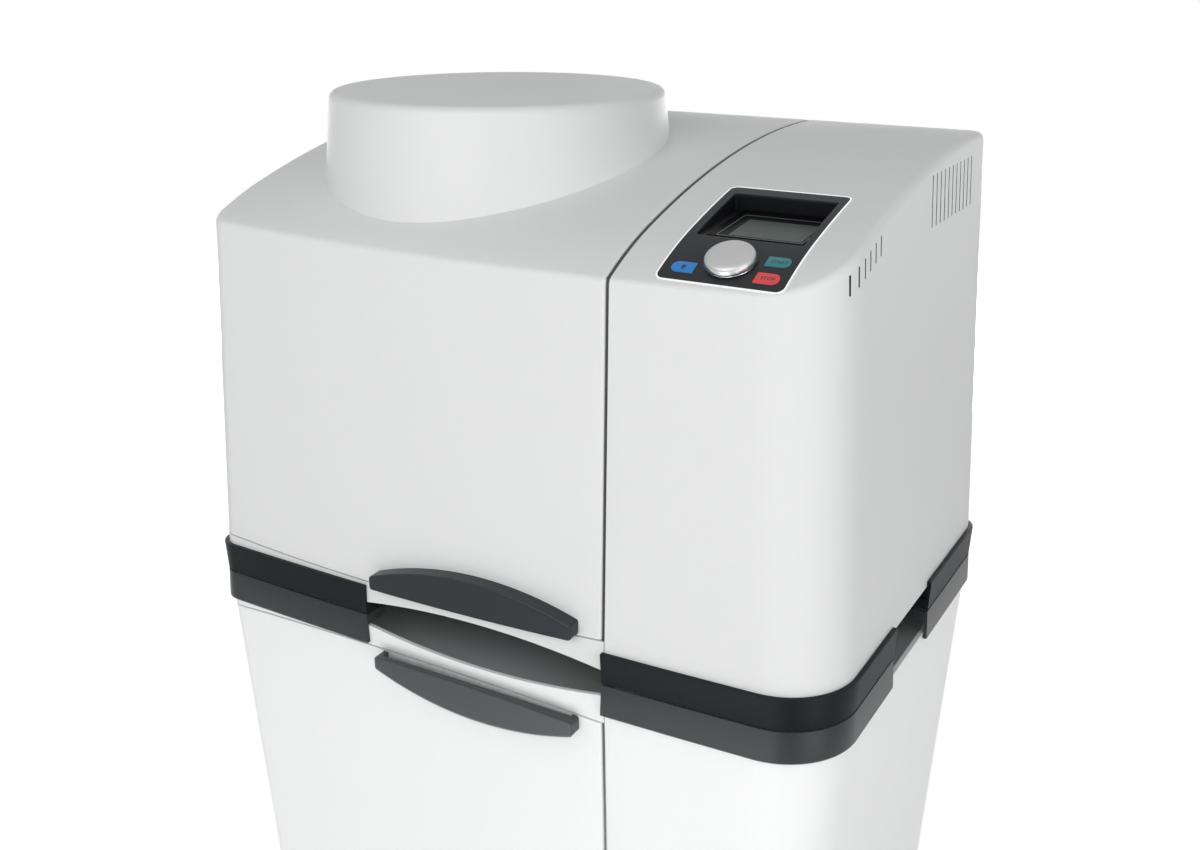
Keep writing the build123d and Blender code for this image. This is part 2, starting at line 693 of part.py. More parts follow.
# ================================================================ grinding station
cup_inner = jar_radius + jar_gap
cup_outer = cup_inner + cup_wall
cup_floor = holder_low + holder_base
with BuildPart() as jar_holder:
    with BuildSketch(Plane.XY.offset(holder_low)):
        Circle(cup_outer)
    extrude(amount=cup_top - holder_low)
    chamfer(jar_holder.edges().sort_by(Axis.Z)[0], 2.5)
    with BuildSketch(Plane.XY.offset(cup_floor)):
        Circle(cup_inner)
    extrude(amount=cup_top - cup_floor, mode=Mode.SUBTRACT)
    # Two upright arms with windows that hold the bridge.
    for side in (-1, 1):
        with BuildSketch(Plane.YZ.offset(side * (cup_inner + 1))) as upright:
            with Locations((0, (holder_low + arm_top) / 2 + 4)):
                RectangleRounded(2 * arm_half, arm_top - holder_low - 8, 4)
            with Locations((0, (bridge_bar_low + bridge_bar_high) / 2)):
                Rectangle(2 * bridge_bar_half - 3.4, bridge_bar_high - bridge_bar_low - 5.4, mode=Mode.SUBTRACT)
        extrude(amount=side * arm_thick)
    with BuildSketch(Plane.XY.offset(cup_floor)):
        Circle(cup_inner)
    extrude(amount=cup_top - cup_floor, mode=Mode.SUBTRACT)
save(jar_holder.part.moved(Location((station_x, planet_y, 0))), "jar_holder")

jar_low = cup_floor
with BuildPart() as grinding_jar:
    with BuildSketch(Plane.XZ):
        with BuildLine():
            Polyline((0, jar_low), (jar_radius - 4, jar_low), (jar_radius, jar_low + 4), (jar_radius, jar_top - 14),
                     (jar_radius + 1, jar_top - 10), (jar_radius + 1, jar_top), (jar_radius - jar_wall, jar_top),
                     (jar_radius - jar_wall, jar_low + jar_floor + 8))
            RadiusArc((jar_radius - jar_wall, jar_low + jar_floor + 8),
                      (jar_radius - jar_wall - 8, jar_low + jar_floor), 8)
            Polyline((jar_radius - jar_wall - 8, jar_low + jar_floor), (0, jar_low + jar_floor), (0, jar_low))
        make_face()
    revolve(axis=Axis.Z)
save(grinding_jar.part.moved(Location((station_x, planet_y, 0))), "grinding_jar")

seal_thick = 2.0
save(ring(jar_radius - 1, jar_radius - jar_wall + 0.6, jar_top, jar_top + seal_thick, planet), "jar_seal")
lid_low = jar_top + seal_thick
with BuildPart() as jar_lid:
    with BuildSketch(Plane.XZ):
        with BuildLine():
            Polyline((0, lid_low - 8), (jar_radius - jar_wall - 0.5, lid_low - 8), (jar_radius - jar_wall - 0.5, lid_low),
                     (jar_radius + 1, lid_low), (jar_radius + 1, lid_top - 2), (jar_radius - 1, lid_top),
                     (boss_radius + 2, lid_top), (boss_radius, lid_top + 2), (boss_radius, lid_top + boss_high),
                     (0, lid_top + boss_high), (0, lid_low - 8))
        make_face()
    revolve(axis=Axis.Z)
save(jar_lid.part.moved(Location((station_x, planet_y, 0))), "jar_lid")

ball_level = jar_low + jar_floor + ball_radius + 0.2
with BuildPart() as grinding_balls:
    with Locations((0, 0, ball_level)):
        Sphere(ball_radius)
    with PolarLocations(2 * ball_radius + 0.4, 6):
        with Locations((0, 0, ball_level)):
            Sphere(ball_radius)
save(grinding_balls.part.moved(Location((station_x, planet_y, 0))), "grinding_balls")

with BuildPart() as clamp_bridge:
    with BuildSketch(Plane.XY.offset(bridge_bar_low)) as bar:
        RectangleRounded(2 * (cup_inner + 0.7), 2 * bridge_bar_half, 5)
        Circle(screw_radius + 6 + 4)
    extrude(amount=bridge_bar_high - bridge_bar_low)
    with BuildSketch(Plane.XY.offset(bridge_bar_low + 3)):
        Rectangle(2 * (cup_inner + arm_thick), 2 * bridge_bar_half - 4)
    extrude(amount=bridge_bar_high - bridge_bar_low - 6)
    with BuildSketch(Plane.XY.offset(bridge_bar_low)):
        Circle(screw_radius + running_gap)
    extrude(amount=40, mode=Mode.SUBTRACT)
save(clamp_bridge.part.moved(Location((station_x, planet_y, 0))), "clamp_bridge")

pad_low = lid_top + boss_high + 0.1
save(ring(boss_radius - 2, 0, pad_low, pad_low + 3, planet), "pressure_pad")

with BuildPart() as clamp_screw:
    with BuildSketch(Plane.XY.offset(pad_low + 3.1)):
        Circle(screw_radius)
    extrude(amount=knob_low - pad_low)
    with BuildSketch(Plane.XY.offset(knob_low)) as star:
        Circle(knob_radius - 5)
        with PolarLocations(knob_radius - 7, 6):
            Circle(8)
    extrude(amount=knob_high - knob_low)
    fillet(clamp_screw.faces().sort_by(Axis.Z)[-1].edges(), 3)
save(clamp_screw.part.moved(Location((station_x, planet_y, 0))), "clamp_screw")

# ================================================================ motor
motor_mount_low = motor_low - 8
with BuildPart() as motor_bracket:
    with BuildSketch(Plane.XY.offset(motor_mount_low)):
        with Locations((motor_x, 0)):
            RectangleRounded(150, 160, 10)
            Circle(26, mode=Mode.SUBTRACT)
    extrude(amount=8)
    with BuildSketch(Plane.XY.offset(plate_top)):
        with Locations((motor_x, 0)):
            with GridLocations(120, 136, 2, 2):
                Circle(7)
    extrude(amount=motor_mount_low - plate_top)
save(motor_bracket.part, "motor_bracket")

with BuildPart() as motor:
    with BuildSketch(Plane.XY.offset(motor_low)):
        RectangleRounded(126, 126, 8)
    extrude(amount=motor_flange)
    with BuildSketch(Plane.XY.offset(motor_low + motor_flange)):
        Circle(motor_radius - 8)
        with PolarLocations(motor_radius - 7, 20):
            Rectangle(12, 4)
    extrude(amount=motor_high - motor_low - motor_flange - motor_cap)
    with BuildSketch(Plane.XY.offset(motor_high - motor_cap)):
        Circle(motor_radius - 2)
    extrude(amount=motor_cap)
    fillet(motor.faces().sort_by(Axis.Z)[-1].edges(), 6)
    with BuildSketch(Plane.XY.offset(motor_low)):
        Circle(motor_shaft_radius + running_gap)
    extrude(amount=30, mode=Mode.SUBTRACT)
    # Flange, finned body and end cap.
    split(bisect_by=Plane.XY.offset(motor_low + motor_flange), keep=Keep.BOTH)
    split(bisect_by=Plane.XY.offset(motor_high - motor_cap), keep=Keep.BOTH)
save(motor.part.moved(Location((motor_x, 0, 0))), "motor")
save(ring(motor_shaft_radius, 0, pulley_low - 2, motor_low + 28, (motor_x, 0)), "motor_shaft")

# Frequency inverter with its heat sink, between the motor table and the rear panel's fittings.
drive_front, drive_back = 98.0, rear_reach - 39.5
drive_wide, drive_tall = 130.0, 100.0
fin_count, fin_thick, fin_tall, fin_inset = 8, 3.0, 22.0, 5.0
fin_pitch = (drive_back - drive_front - fin_inset * 2 - fin_thick) / (fin_count - 1)
with BuildPart() as drive_unit:
    with BuildSketch(Plane.XY.offset(plate_top)):
        with Locations((motor_x, (drive_front + drive_back) / 2)):
            RectangleRounded(drive_wide, drive_back - drive_front, 5)
    extrude(amount=drive_tall)
    with BuildSketch(Plane.XY.offset(plate_top + drive_tall)):
        with Locations((motor_x, (drive_front + drive_back) / 2)):
            with GridLocations(0, fin_pitch, 1, fin_count):
                Rectangle(drive_wide - 2 * fin_inset, fin_thick)
    extrude(amount=fin_tall)
save(drive_unit.part, "drive_unit")

# ================================================================ hood hinge, lock
with BuildPart() as hinge_brackets:
    for x in hinge_places:
        with BuildSketch(Plane.YZ.offset(x - bracket_half)):
            with Locations((hinge_y, hinge_z)):
                Circle(knuckle_radius)
            with BuildLine():
                Polyline((hinge_y, hinge_z + knuckle_radius - 2), (hinge_y - 46, hinge_z + 2), (hinge_y - 54, hinge_z - 10),
                         (hinge_y - 54, deck_top), (hinge_y - 22, deck_top), (hinge_y - 36, deck_top + 30),
                         (hinge_y - 36, hinge_z - 24), (hinge_y - 30, hinge_z - knuckle_radius + 2),
                         (hinge_y, hinge_z - knuckle_radius + 1), (hinge_y, hinge_z + knuckle_radius - 2))
            make_face()
            with Locations((hinge_y, hinge_z)):
                Circle(hinge_pin_radius, mode=Mode.SUBTRACT)
        extrude(amount=2 * bracket_half)
        with BuildSketch(Plane.XY.offset(deck_top)):
            with Locations((x, hinge_y - 36)):
                RectangleRounded(hinge_foot, hinge_foot, 4)
        extrude(amount=hinge_foot_thick)
save(hinge_brackets.part, "hinge_brackets")

with BuildPart() as hinge_pins:
    for x in hinge_places:
        with BuildSketch(Plane.YZ.offset(x - bracket_half - 1)):
            with Locations((hinge_y, hinge_z)):
                Circle(hinge_pin_radius)
        extrude(amount=2 * bracket_half + 2 + arm_gap + hinge_arm_wide)
save(hinge_pins.part, "hinge_pins")

with BuildPart() as hinge_arms:
    for x in hinge_places:
        with BuildSketch(Plane.YZ.offset(x + bracket_half + arm_gap)):
            with Locations((hinge_y, hinge_z)):
                Circle(knuckle_radius)
            with BuildLine():
                Polyline((hinge_y + 8, hinge_z), (hinge_y + 8, hinge_z + 30), (hinge_y - 66, hinge_z + 30),
                         (hinge_y - 66, hinge_z + 8), (hinge_y - 6, hinge_z - 8), (hinge_y + 8, hinge_z))
            make_face()
            with Locations((hinge_y, hinge_z)):
                Circle(hinge_pin_radius + running_gap, mode=Mode.SUBTRACT)
        extrude(amount=hinge_arm_wide)
    add(inner_form, mode=Mode.INTERSECT)
save(hinge_arms.part, "hinge_arms")

lock_front = front_line(lock_z) + chamber_inset + 0.5
lock_mid_y, lock_bottom = lock_front + wall + lock_deep / 2 + 6, lock_z - lock_half
with BuildPart() as lock_body:
    with Locations((lock_x, lock_mid_y, lock_z)):
        Box(2 * lock_half, lock_deep, 2 * lock_half)
    with BuildSketch(Plane.XZ.offset(-(lock_front + wall))):
        with Locations((lock_x, lock_z)):
            Circle(bolt_radius + running_gap)
    extrude(amount=-(lock_deep + 10), mode=Mode.SUBTRACT)
    # Post down to the base plate.
    with Locations((lock_x, lock_mid_y, 0.5 * (plate_top + lock_bottom))):
        Box(2 * lock_half, lock_deep - 10, lock_bottom - plate_top)
save(lock_body.part, "lock_body")
with BuildPart() as lock_bolt:
    with BuildSketch(Plane.XZ.offset(-(lock_front + 2))):
        with Locations((lock_x, lock_z)):
            Circle(bolt_radius)
    extrude(amount=-bolt_long)
save(lock_bolt.part, "lock_bolt")
striker_back = front_line(lock_z) + chamber_inset - striker_gap
with BuildPart() as lock_striker:
    # A square eye made of four bars.
    with Locations((lock_x, striker_back - 10, lock_z)):
        Box(striker_wide, 20, striker_tall)
        Box(striker_hole, 20, striker_hole, mode=Mode.SUBTRACT)
    add(inner_form, mode=Mode.INTERSECT)
    for side in (-1, 1):
        split(bisect_by=Plane.XY.offset(lock_z + side * striker_hole / 2), keep=Keep.BOTH)
save(lock_striker.part, "lock_striker")

# ================================================================ control panel
skin_top, skin_low = crown_band(-panel_proud, 200), crown_band(panel_thick, 199)
well_floor = crown_height(well_y0) - 1.2
tilt_plane = Plane(origin=(0, well_y0, well_floor), x_dir=(1, 0, 0),
                   z_dir=(0, -sin(radians(well_tilt)), cos(radians(well_tilt))))
well_deep = well_y1 - well_y0


def turn_plane(x, y, inset=0.0):
    """Plane square to the crown's normal at (x, y), moved inwards by inset."""
    slope = radians(crown_slope(y))
    face = Plane(origin=(x, y, crown_height(y)), x_dir=(1, 0, 0), z_dir=(0, -sin(slope), cos(slope)))
    return face.offset(-inset)


def key_block(place, grow, low, high):
    """Key form square to the crown, from low to high above it, with one round end."""
    x, y, side = place
    with BuildPart() as block:
        with BuildSketch(turn_plane(x, y, -low)) as shape:
            Rectangle(key_long + 2 * grow, key_wide + 2 * grow)
            corners = shape.vertices().group_by(Axis.X)[-1 if side > 0 else 0]
            fillet(corners, key_wide / 2 + grow - 0.4)
        extrude(amount=high - low)
    return block.part


key_holes = [key_block(place, key_gap, -panel_thick - 4, 16) for place in key_places.values()]
board_face = turn_plane((panel_x0 + panel_x1) / 2, board_y, board_below)
with BuildPart() as well_hollow:
    with BuildSketch(tilt_plane):
        with Locations(((well_x0 + well_x1) / 2, well_deep / 2)):
            RectangleRounded(well_x1 - well_x0, well_deep, 2)
    extrude(amount=60)
with BuildPart() as well_tub:
    with BuildSketch(tilt_plane.offset(-well_wall)):
        with Locations(((well_x0 + well_x1) / 2, well_deep / 2)):
            RectangleRounded(well_x1 - well_x0 + 2 * well_wall, well_deep + 2 * well_wall, 3)
    extrude(amount=60)
    add(skin_top, mode=Mode.INTERSECT)
with BuildPart() as panel_bezel:
    with BuildSketch(Plane.XY.offset(280)):
        with Locations(((panel_x0 + panel_x1) / 2, (panel_y0 + panel_y1) / 2)):
            RectangleRounded(panel_x1 - panel_x0, panel_y1 - panel_y0, panel_corner)
    extrude(amount=160)
    add(skin_top, mode=Mode.INTERSECT)
    add(skin_low, mode=Mode.SUBTRACT)
    add(well_tub.part)
    add(well_hollow.part, mode=Mode.SUBTRACT)
    with BuildSketch(turn_plane(turn_x, turn_y, panel_thick + 2)):
        Circle(3.55)
    extrude(amount=20, mode=Mode.SUBTRACT)
    add(key_holes, mode=Mode.SUBTRACT)
    # Posts that carry the control board.
    with BuildSketch(board_face):
        with GridLocations(2 * board_post_x, 2 * board_post_y, 2, 2):
            Circle(board_post_radius)
    extrude(amount=board_below - panel_thick + 0.6)
save(panel_bezel.part, "panel_bezel")

with BuildPart() as display_glass:
    with BuildSketch(tilt_plane):
        with Locations(((glass_x0 + glass_x1) / 2, (glass_y0 + glass_y1) / 2 - well_y0)):
            RectangleRounded(glass_x1 - glass_x0, glass_y1 - glass_y0, 1)
    extrude(amount=glass_thick)
save(display_glass.part, "display_glass")

with BuildPart() as turn_knob:
    with BuildSketch(turn_plane(turn_x, turn_y, -panel_proud - 0.4)):
        Circle(turn_radius)
    extrude(amount=turn_high, taper=5)
    fillet(turn_knob.faces().sort_by(Axis.Z)[-1].edges(), 4)
    with BuildSketch(turn_plane(turn_x, turn_y, -panel_proud - 0.4)):
        Circle(3.5)
    extrude(amount=-12)
save(turn_knob.part, "turn_knob")

for name, place in key_places.items():
    save(key_block(place, 0.0, key_proud - key_deep, key_proud), name)

with BuildPart() as control_board:
    with BuildSketch(board_face):
        RectangleRounded(88, 44, 2)
        with Locations((turn_x - (panel_x0 + panel_x1) / 2, turn_y - board_y)):
            Circle(6.5, mode=Mode.SUBTRACT)
    extrude(amount=-1.6)
save(control_board.part, "control_board")

# ================================================================ rear panel
panel_skin = 2.5
with BuildPart() as rear_panel:
    with BuildSketch(Plane.XZ.offset(-rear_reach)):
        with Locations((rear_x, (rear_low + rear_high) / 2)):
            RectangleRounded(2 * (rear_half - panel_gap), rear_high - rear_low - 2 * panel_gap, 8 - panel_gap)
    extrude(amount=wall)
    with BuildSketch(Plane.XZ.offset(-(rear_reach - wall))):
        with Locations((rear_x, (rear_low + rear_high) / 2)):
            RectangleRounded(2 * rear_half + 12, rear_high - rear_low + 12, 8)
    extrude(amount=panel_skin)
    with BuildSketch(Plane.XZ.offset(-(rear_reach + 1))):
        with Locations((rear_x, fan_z)):
            Circle(fan_radius)
        with Locations((inlet_x, inlet_z)):
            Rectangle(28.6, 22.6)
        with Locations((switch_x, inlet_z)):
            Rectangle(22.6, 30.6)
        for n in range(7):
            with Locations((rear_x, 132 + 11 * n)):
                SlotOverall(96, 4)
    extrude(amount=12, mode=Mode.SUBTRACT)
    # Three fields: mains, vent slots and fan.
    for z in (inlet_z + 28, fan_z - fan_half - 6):
        split(bisect_by=Plane.XY.offset(z), keep=Keep.BOTH)
save(rear_panel.part, "rear_panel")

fan_back = rear_reach - wall - panel_skin
with BuildPart() as fan_frame:
    with BuildSketch(Plane.XZ.offset(-fan_back)):
        with Locations((rear_x, fan_z)):
            RectangleRounded(2 * fan_half, 2 * fan_half, 5)
            Circle(fan_radius, mode=Mode.SUBTRACT)
    extrude(amount=fan_deep)
    with BuildSketch(Plane.XZ.offset(-(fan_back - fan_deep + 3))):
        with Locations((rear_x, fan_z)):
            Circle(15)
            with PolarLocations(25, 4, 45):
                Rectangle(34, 5)
    extrude(amount=3)
    with BuildSketch(Plane.XZ.offset(-(fan_back - 4))):
        with Locations((rear_x, fan_z)):
            Circle(2.0)
    extrude(amount=fan_deep - 7)
save(fan_frame.part, "fan_frame")

with BuildPart() as fan_rotor:
    with BuildSketch(Plane.XZ.offset(-(fan_back - 3))):
        with Locations((rear_x, fan_z)):
            Circle(16)
    extrude(amount=fan_deep - 7)
    for n in range(7):
        blade = Plane(origin=(rear_x, fan_back - 3 - (fan_deep - 7) / 2, fan_z),
                      x_dir=(cos(2 * pi * n / 7), 0, sin(2 * pi * n / 7)),
                      z_dir=(sin(2 * pi * n / 7) * 0.75, 0.66, -cos(2 * pi * n / 7) * 0.75))
        with BuildSketch(blade):
            with Locations((24.5, 0)):
                Rectangle(21, 18)
        extrude(amount=0.8, both=True)
    with BuildSketch(Plane.XZ.offset(-fan_back)):
        with Locations((rear_x, fan_z)):
            Circle(2.05)
    extrude(amount=fan_deep, mode=Mode.SUBTRACT)
save(fan_rotor.part, "fan_rotor")

guard_wire = 1.2
with BuildPart() as fan_guard:
    with BuildSketch(Plane.XZ.offset(-(rear_reach + 3))):
        with Locations((rear_x, fan_z)):
            for radius in (12.0, 21.0, 30.0, 39.0):
                Circle(radius + guard_wire)
                Circle(radius - guard_wire, mode=Mode.SUBTRACT)
            for turn in (45, 135):
                Rectangle(94, 2 * guard_wire, rotation=turn)
    extrude(amount=3)
save(fan_guard.part, "fan_guard")

socket_wide, socket_tall, socket_round = 24.4, 16.6, 3.0
with BuildPart() as power_inlet:
    with BuildSketch(Plane.XZ.offset(-(rear_reach + 2))):
        with Locations((inlet_x, inlet_z)):
            RectangleRounded(48, 30, 4)
    extrude(amount=2)
    with BuildSketch(Plane.XZ.offset(-rear_reach)):
        with Locations((inlet_x, inlet_z)):
            Rectangle(28, 22)
    extrude(amount=24)
    with BuildSketch(Plane.XZ.offset(-(rear_reach + 2))):
        with Locations((inlet_x, inlet_z)):
            RectangleRounded(socket_wide, socket_tall, socket_round)
    extrude(amount=18, mode=Mode.SUBTRACT)
    with BuildSketch(Plane.XZ.offset(-(rear_reach - 16))):
        with Locations((inlet_x, inlet_z)):
            with Locations((-7, -2), (7, -2), (0, 2.5)):
                Rectangle(2, 4.5)
    extrude(amount=-14)
    # Back block with its pins, and the four walls of the socket.
    split(bisect_by=Plane.XZ.offset(-(rear_reach - 16)), keep=Keep.BOTH)
    for side in (-1, 1):
        split(bisect_by=Plane.YZ.offset(inlet_x + side * (socket_wide / 2 - socket_round)), keep=Keep.BOTH)
save(power_inlet.part, "power_inlet")

with BuildPart() as switch_frame:
    with BuildSketch(Plane.XZ.offset(-(rear_reach + 2))):
        with Locations((switch_x, inlet_z)):
            RectangleRounded(28, 36, 3)
    extrude(amount=2)
    with BuildSketch(Plane.XZ.offset(-rear_reach)):
        with Locations((switch_x, inlet_z)):
            Rectangle(22, 30)
    extrude(amount=22)
    with BuildSketch(Plane.XZ.offset(-(rear_reach + 2))):
        with Locations((switch_x, inlet_z)):
            Rectangle(17, 25)
    extrude(amount=16, mode=Mode.SUBTRACT)
save(switch_frame.part, "switch_frame")

rocker_y = rear_reach - 5.0
with BuildPart() as switch_rocker:
    with BuildSketch(Plane.YZ.offset(switch_x - 8)) as profile:
        with BuildLine():
            Polyline((rocker_y + 8.5, inlet_z + 10.9), (rocker_y + 6.6, inlet_z), (rocker_y + 8.5, inlet_z - 10.9),
                     (rocker_y, inlet_z - 10.2), (rocker_y - 4, inlet_z), (rocker_y, inlet_z + 10.2),
                     (rocker_y + 8.5, inlet_z + 10.9))
        make_face()
    extrude(amount=16)
    # Its axle stands out on both sides.
    with BuildSketch(Plane.YZ.offset(switch_x - 8.3)):
        with Locations((rocker_y, inlet_z)):
            Circle(1.6)
    extrude(amount=16.6)
save(switch_rocker.part, "switch_rocker")
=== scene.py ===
import bpy
import bmesh
from math import asin, atan2, cos, hypot, pi, radians, sin, sqrt
from mathutils import Matrix, Vector


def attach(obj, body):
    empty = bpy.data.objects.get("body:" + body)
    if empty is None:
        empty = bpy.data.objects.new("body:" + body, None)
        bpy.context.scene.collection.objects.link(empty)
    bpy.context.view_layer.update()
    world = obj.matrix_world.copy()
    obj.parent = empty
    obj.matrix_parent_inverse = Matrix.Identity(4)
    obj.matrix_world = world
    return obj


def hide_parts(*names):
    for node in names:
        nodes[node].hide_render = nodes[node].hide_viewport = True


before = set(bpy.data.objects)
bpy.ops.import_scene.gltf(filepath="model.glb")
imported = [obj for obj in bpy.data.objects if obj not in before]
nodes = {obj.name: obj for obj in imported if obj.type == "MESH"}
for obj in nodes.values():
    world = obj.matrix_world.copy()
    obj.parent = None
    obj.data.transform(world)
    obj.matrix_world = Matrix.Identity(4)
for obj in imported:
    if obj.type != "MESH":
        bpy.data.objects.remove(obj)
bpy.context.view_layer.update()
scene = bpy.context.scene
print("stage: frame loaded,", len(nodes), "nodes")

# the camera, in metres, degrees and millimetres of lens
cameraSettings = {
    "place": (0.6007, -1.0473, 0.5844),
    "pitchDown": 20.08,
    "yaw": 29.8,
    "roll": 0.17,
    "lens": 39.93,
    "sensor": 36.0,
}


def makeCamera(s):
    data = bpy.data.cameras.new("photoCamera")
    data.lens = s["lens"]
    data.sensor_width = s["sensor"]
    camera = bpy.data.objects.new("photoCamera", data)
    scene.collection.objects.link(camera)
    camera.matrix_world = (
        Matrix.Translation(s["place"])
        @ Matrix.Rotation(radians(s["yaw"]), 4, "Z")
        @ Matrix.Rotation(radians(90 - s["pitchDown"]), 4, "X")
        @ Matrix.Rotation(radians(-s["roll"]), 4, "Z")
    )
    return camera


scene.camera = makeCamera(cameraSettings)
scene.view_settings.view_transform = "Standard"


def newMaterial(name):
    material = bpy.data.materials.new(name)
    material.use_nodes = True
    material.node_tree.nodes.clear()
    return material, material.node_tree.nodes, material.node_tree.links


def mathStep(n, links, operation, *values):
    step = n.new("ShaderNodeMath")
    step.operation = operation
    for socket, value in zip(step.inputs, values):
        if hasattr(value, "is_output"):
            links.new(value, socket)
        else:
            socket.default_value = value
    return step.outputs[0]


def mixShader(n, links, share, first, second):
    mix = n.new("ShaderNodeMixShader")
    if hasattr(share, "is_output"):
        links.new(share, mix.inputs[0])
    else:
        mix.inputs[0].default_value = share
    links.new(first, mix.inputs[1])
    links.new(second, mix.inputs[2])
    return mix.outputs[0]


floorSettings = {
    "radius": 4.0,
    "segments": 96,
    "fade": (0.95, 1.9),          # where the floor starts and ends its change into the white room
    "color": (0.86, 0.86, 0.86, 1.0),
    "gloss": 0.36,                # share of gloss that lights the object
    "roughness": 0.04,
    "mirror": 0.95,               # share of mirror in the floor that the camera sees, a polished white table
    "mirrorTone": (1.17, 1.17, 1.17, 1.0),
    "lift": 0.001,
}


def makeFloor(s):
    bm = bmesh.new()
    bmesh.ops.create_circle(bm, cap_ends=True, segments=s["segments"], radius=s["radius"])
    mesh = bpy.data.meshes.new("floor")
    bm.to_mesh(mesh)
    bm.free()
    floor = bpy.data.objects.new("floor", mesh)
    scene.collection.objects.link(floor)

    material, n, links = newMaterial("paleFloor")
    diffuse = n.new("ShaderNodeBsdfDiffuse")
    diffuse.inputs["Color"].default_value = s["color"]
    gloss = n.new("ShaderNodeBsdfGlossy")
    gloss.inputs["Color"].default_value = (1, 1, 1, 1)
    gloss.inputs["Roughness"].default_value = s["roughness"]
    lighting = mixShader(n, links, s["gloss"], diffuse.outputs[0], gloss.outputs[0])
    # the camera sees the floor as a mirror, with its open part white; the object is lit by the plain mix
    mirror = n.new("ShaderNodeBsdfGlossy")
    mirror.inputs["Color"].default_value = s["mirrorTone"]
    mirror.inputs["Roughness"].default_value = s["roughness"]
    seen = mixShader(n, links, s["mirror"], diffuse.outputs[0], mirror.outputs[0])
    lift = n.new("ShaderNodeEmission")
    lift.inputs["Color"].default_value = (1, 1, 1, 1)
    lift.inputs["Strength"].default_value = s["lift"]
    lifted = n.new("ShaderNodeAddShader")
    links.new(seen, lifted.inputs[0])
    links.new(lift.outputs[0], lifted.inputs[1])
    path = n.new("ShaderNodeLightPath")
    total = mixShader(n, links, path.outputs["Is Camera Ray"], lighting, lifted.outputs[0])
    place = n.new("ShaderNodeTexCoord")
    away = n.new("ShaderNodeVectorMath")
    away.operation = "LENGTH"
    links.new(place.outputs["Object"], away.inputs[0])
    fade = n.new("ShaderNodeMapRange")
    fade.interpolation_type = "SMOOTHSTEP"
    fade.inputs["From Min"].default_value, fade.inputs["From Max"].default_value = s["fade"]
    links.new(away.outputs["Value"], fade.inputs["Value"])
    clear = n.new("ShaderNodeBsdfTransparent")
    output = n.new("ShaderNodeOutputMaterial")
    links.new(mixShader(n, links, fade.outputs["Result"], total, clear.outputs[0]), output.inputs["Surface"])
    mesh.materials.append(material)


makeFloor(floorSettings)

# the room is white where it is seen, and lights the object with a weaker fill
worldSettings = {"seen": 1.0, "fillTone": (0.98, 0.99, 1.0, 1), "fill": 0.28}


def makeWorld(s):
    world = bpy.data.worlds.new("paleRoom")
    scene.world = world
    world.use_nodes = True
    n, links = world.node_tree.nodes, world.node_tree.links
    n.clear()
    seen = n.new("ShaderNodeBackground")
    seen.inputs["Color"].default_value = (1, 1, 1, 1)
    seen.inputs["Strength"].default_value = s["seen"]
    fill = n.new("ShaderNodeBackground")
    fill.inputs["Color"].default_value = s["fillTone"]
    fill.inputs["Strength"].default_value = s["fill"]
    path = n.new("ShaderNodeLightPath")
    cameraOrGloss = mathStep(n, links, "MAXIMUM", path.outputs["Is Camera Ray"], path.outputs["Is Glossy Ray"])
    anyView = mathStep(n, links, "MAXIMUM", cameraOrGloss, path.outputs["Is Transmission Ray"])
    output = n.new("ShaderNodeOutputWorld")
    links.new(mixShader(n, links, anyView, fill.outputs[0], seen.outputs[0]), output.inputs["Surface"])


makeWorld(worldSettings)

lamps = {
    "frontSoftbox": {"place": (0.05, -2.0, 1.10), "aim": (0.0, 0.0, 0.25), "size": (1.6, 1.0), "power": 19.5},
    "sideSoftbox": {"place": (2.2, -1.0, 0.8), "aim": (0.15, 0.0, 0.22), "size": (1.2, 1.0), "power": 15.0},
    "rearSoftbox": {"place": (-0.3, 2.2, 0.30), "aim": (0.0, 0.0, 0.20), "size": (1.8, 0.5), "power": 12.0},
    "leftSoftbox": {"place": (-1.9, 1.6, 0.25), "aim": (0.0, 0.0, 0.20), "size": (1.4, 0.4), "power": 6.0},
}


def makeLamp(name, s):
    data = bpy.data.lights.new(name, "AREA")
    data.shape = "RECTANGLE"
    data.size, data.size_y = s["size"]
    data.energy = s["power"]
    lamp = bpy.data.objects.new(name, data)
    lamp.location = s["place"]
    lamp.rotation_euler = (Vector(s["aim"]) - Vector(s["place"])).to_track_quat("-Z", "Y").to_euler()
    scene.collection.objects.link(lamp)


for lampName, lampSettings in lamps.items():
    makeLamp(lampName, lampSettings)
print("stage: room and camera")

# inputs of the shared surface groups, with their defaults
surfaceInputs = [
    ("Color", "NodeSocketColor", (0.5, 0.5, 0.5, 1)),
    ("Spread", "NodeSocketFloat", 0.03),
    ("Blotch Scale", "NodeSocketFloat", 9.0),
    ("Roughness", "NodeSocketFloat", 0.4),
    ("Roughness Spread", "NodeSocketFloat", 0.06),
    ("Grain Scale", "NodeSocketFloat", 900.0),
    ("Grain Depth", "NodeSocketFloat", 0.00003),
]
surfaceOutputs = [("Color", "NodeSocketColor"), ("Roughness", "NodeSocketFloat"), ("Normal", "NodeSocketVector")]
surfaceNoise = {"blotchDetail": 4.0, "grainDetail": 2.5, "grainRoughness": 0.6}


def surfaceGroup(name, extra=()):
    group = bpy.data.node_groups.new(name, "ShaderNodeTree")
    for label, kind, value in surfaceInputs + list(extra):
        socket = group.interface.new_socket(name=label, in_out="INPUT", socket_type=kind)
        socket.default_value = value
    for label, kind in surfaceOutputs:
        group.interface.new_socket(name=label, in_out="OUTPUT", socket_type=kind)
    n = group.nodes
    source, result, place = n.new("NodeGroupInput"), n.new("NodeGroupOutput"), n.new("ShaderNodeTexCoord")
    return group, n, group.links, source, result, place.outputs["Object"]


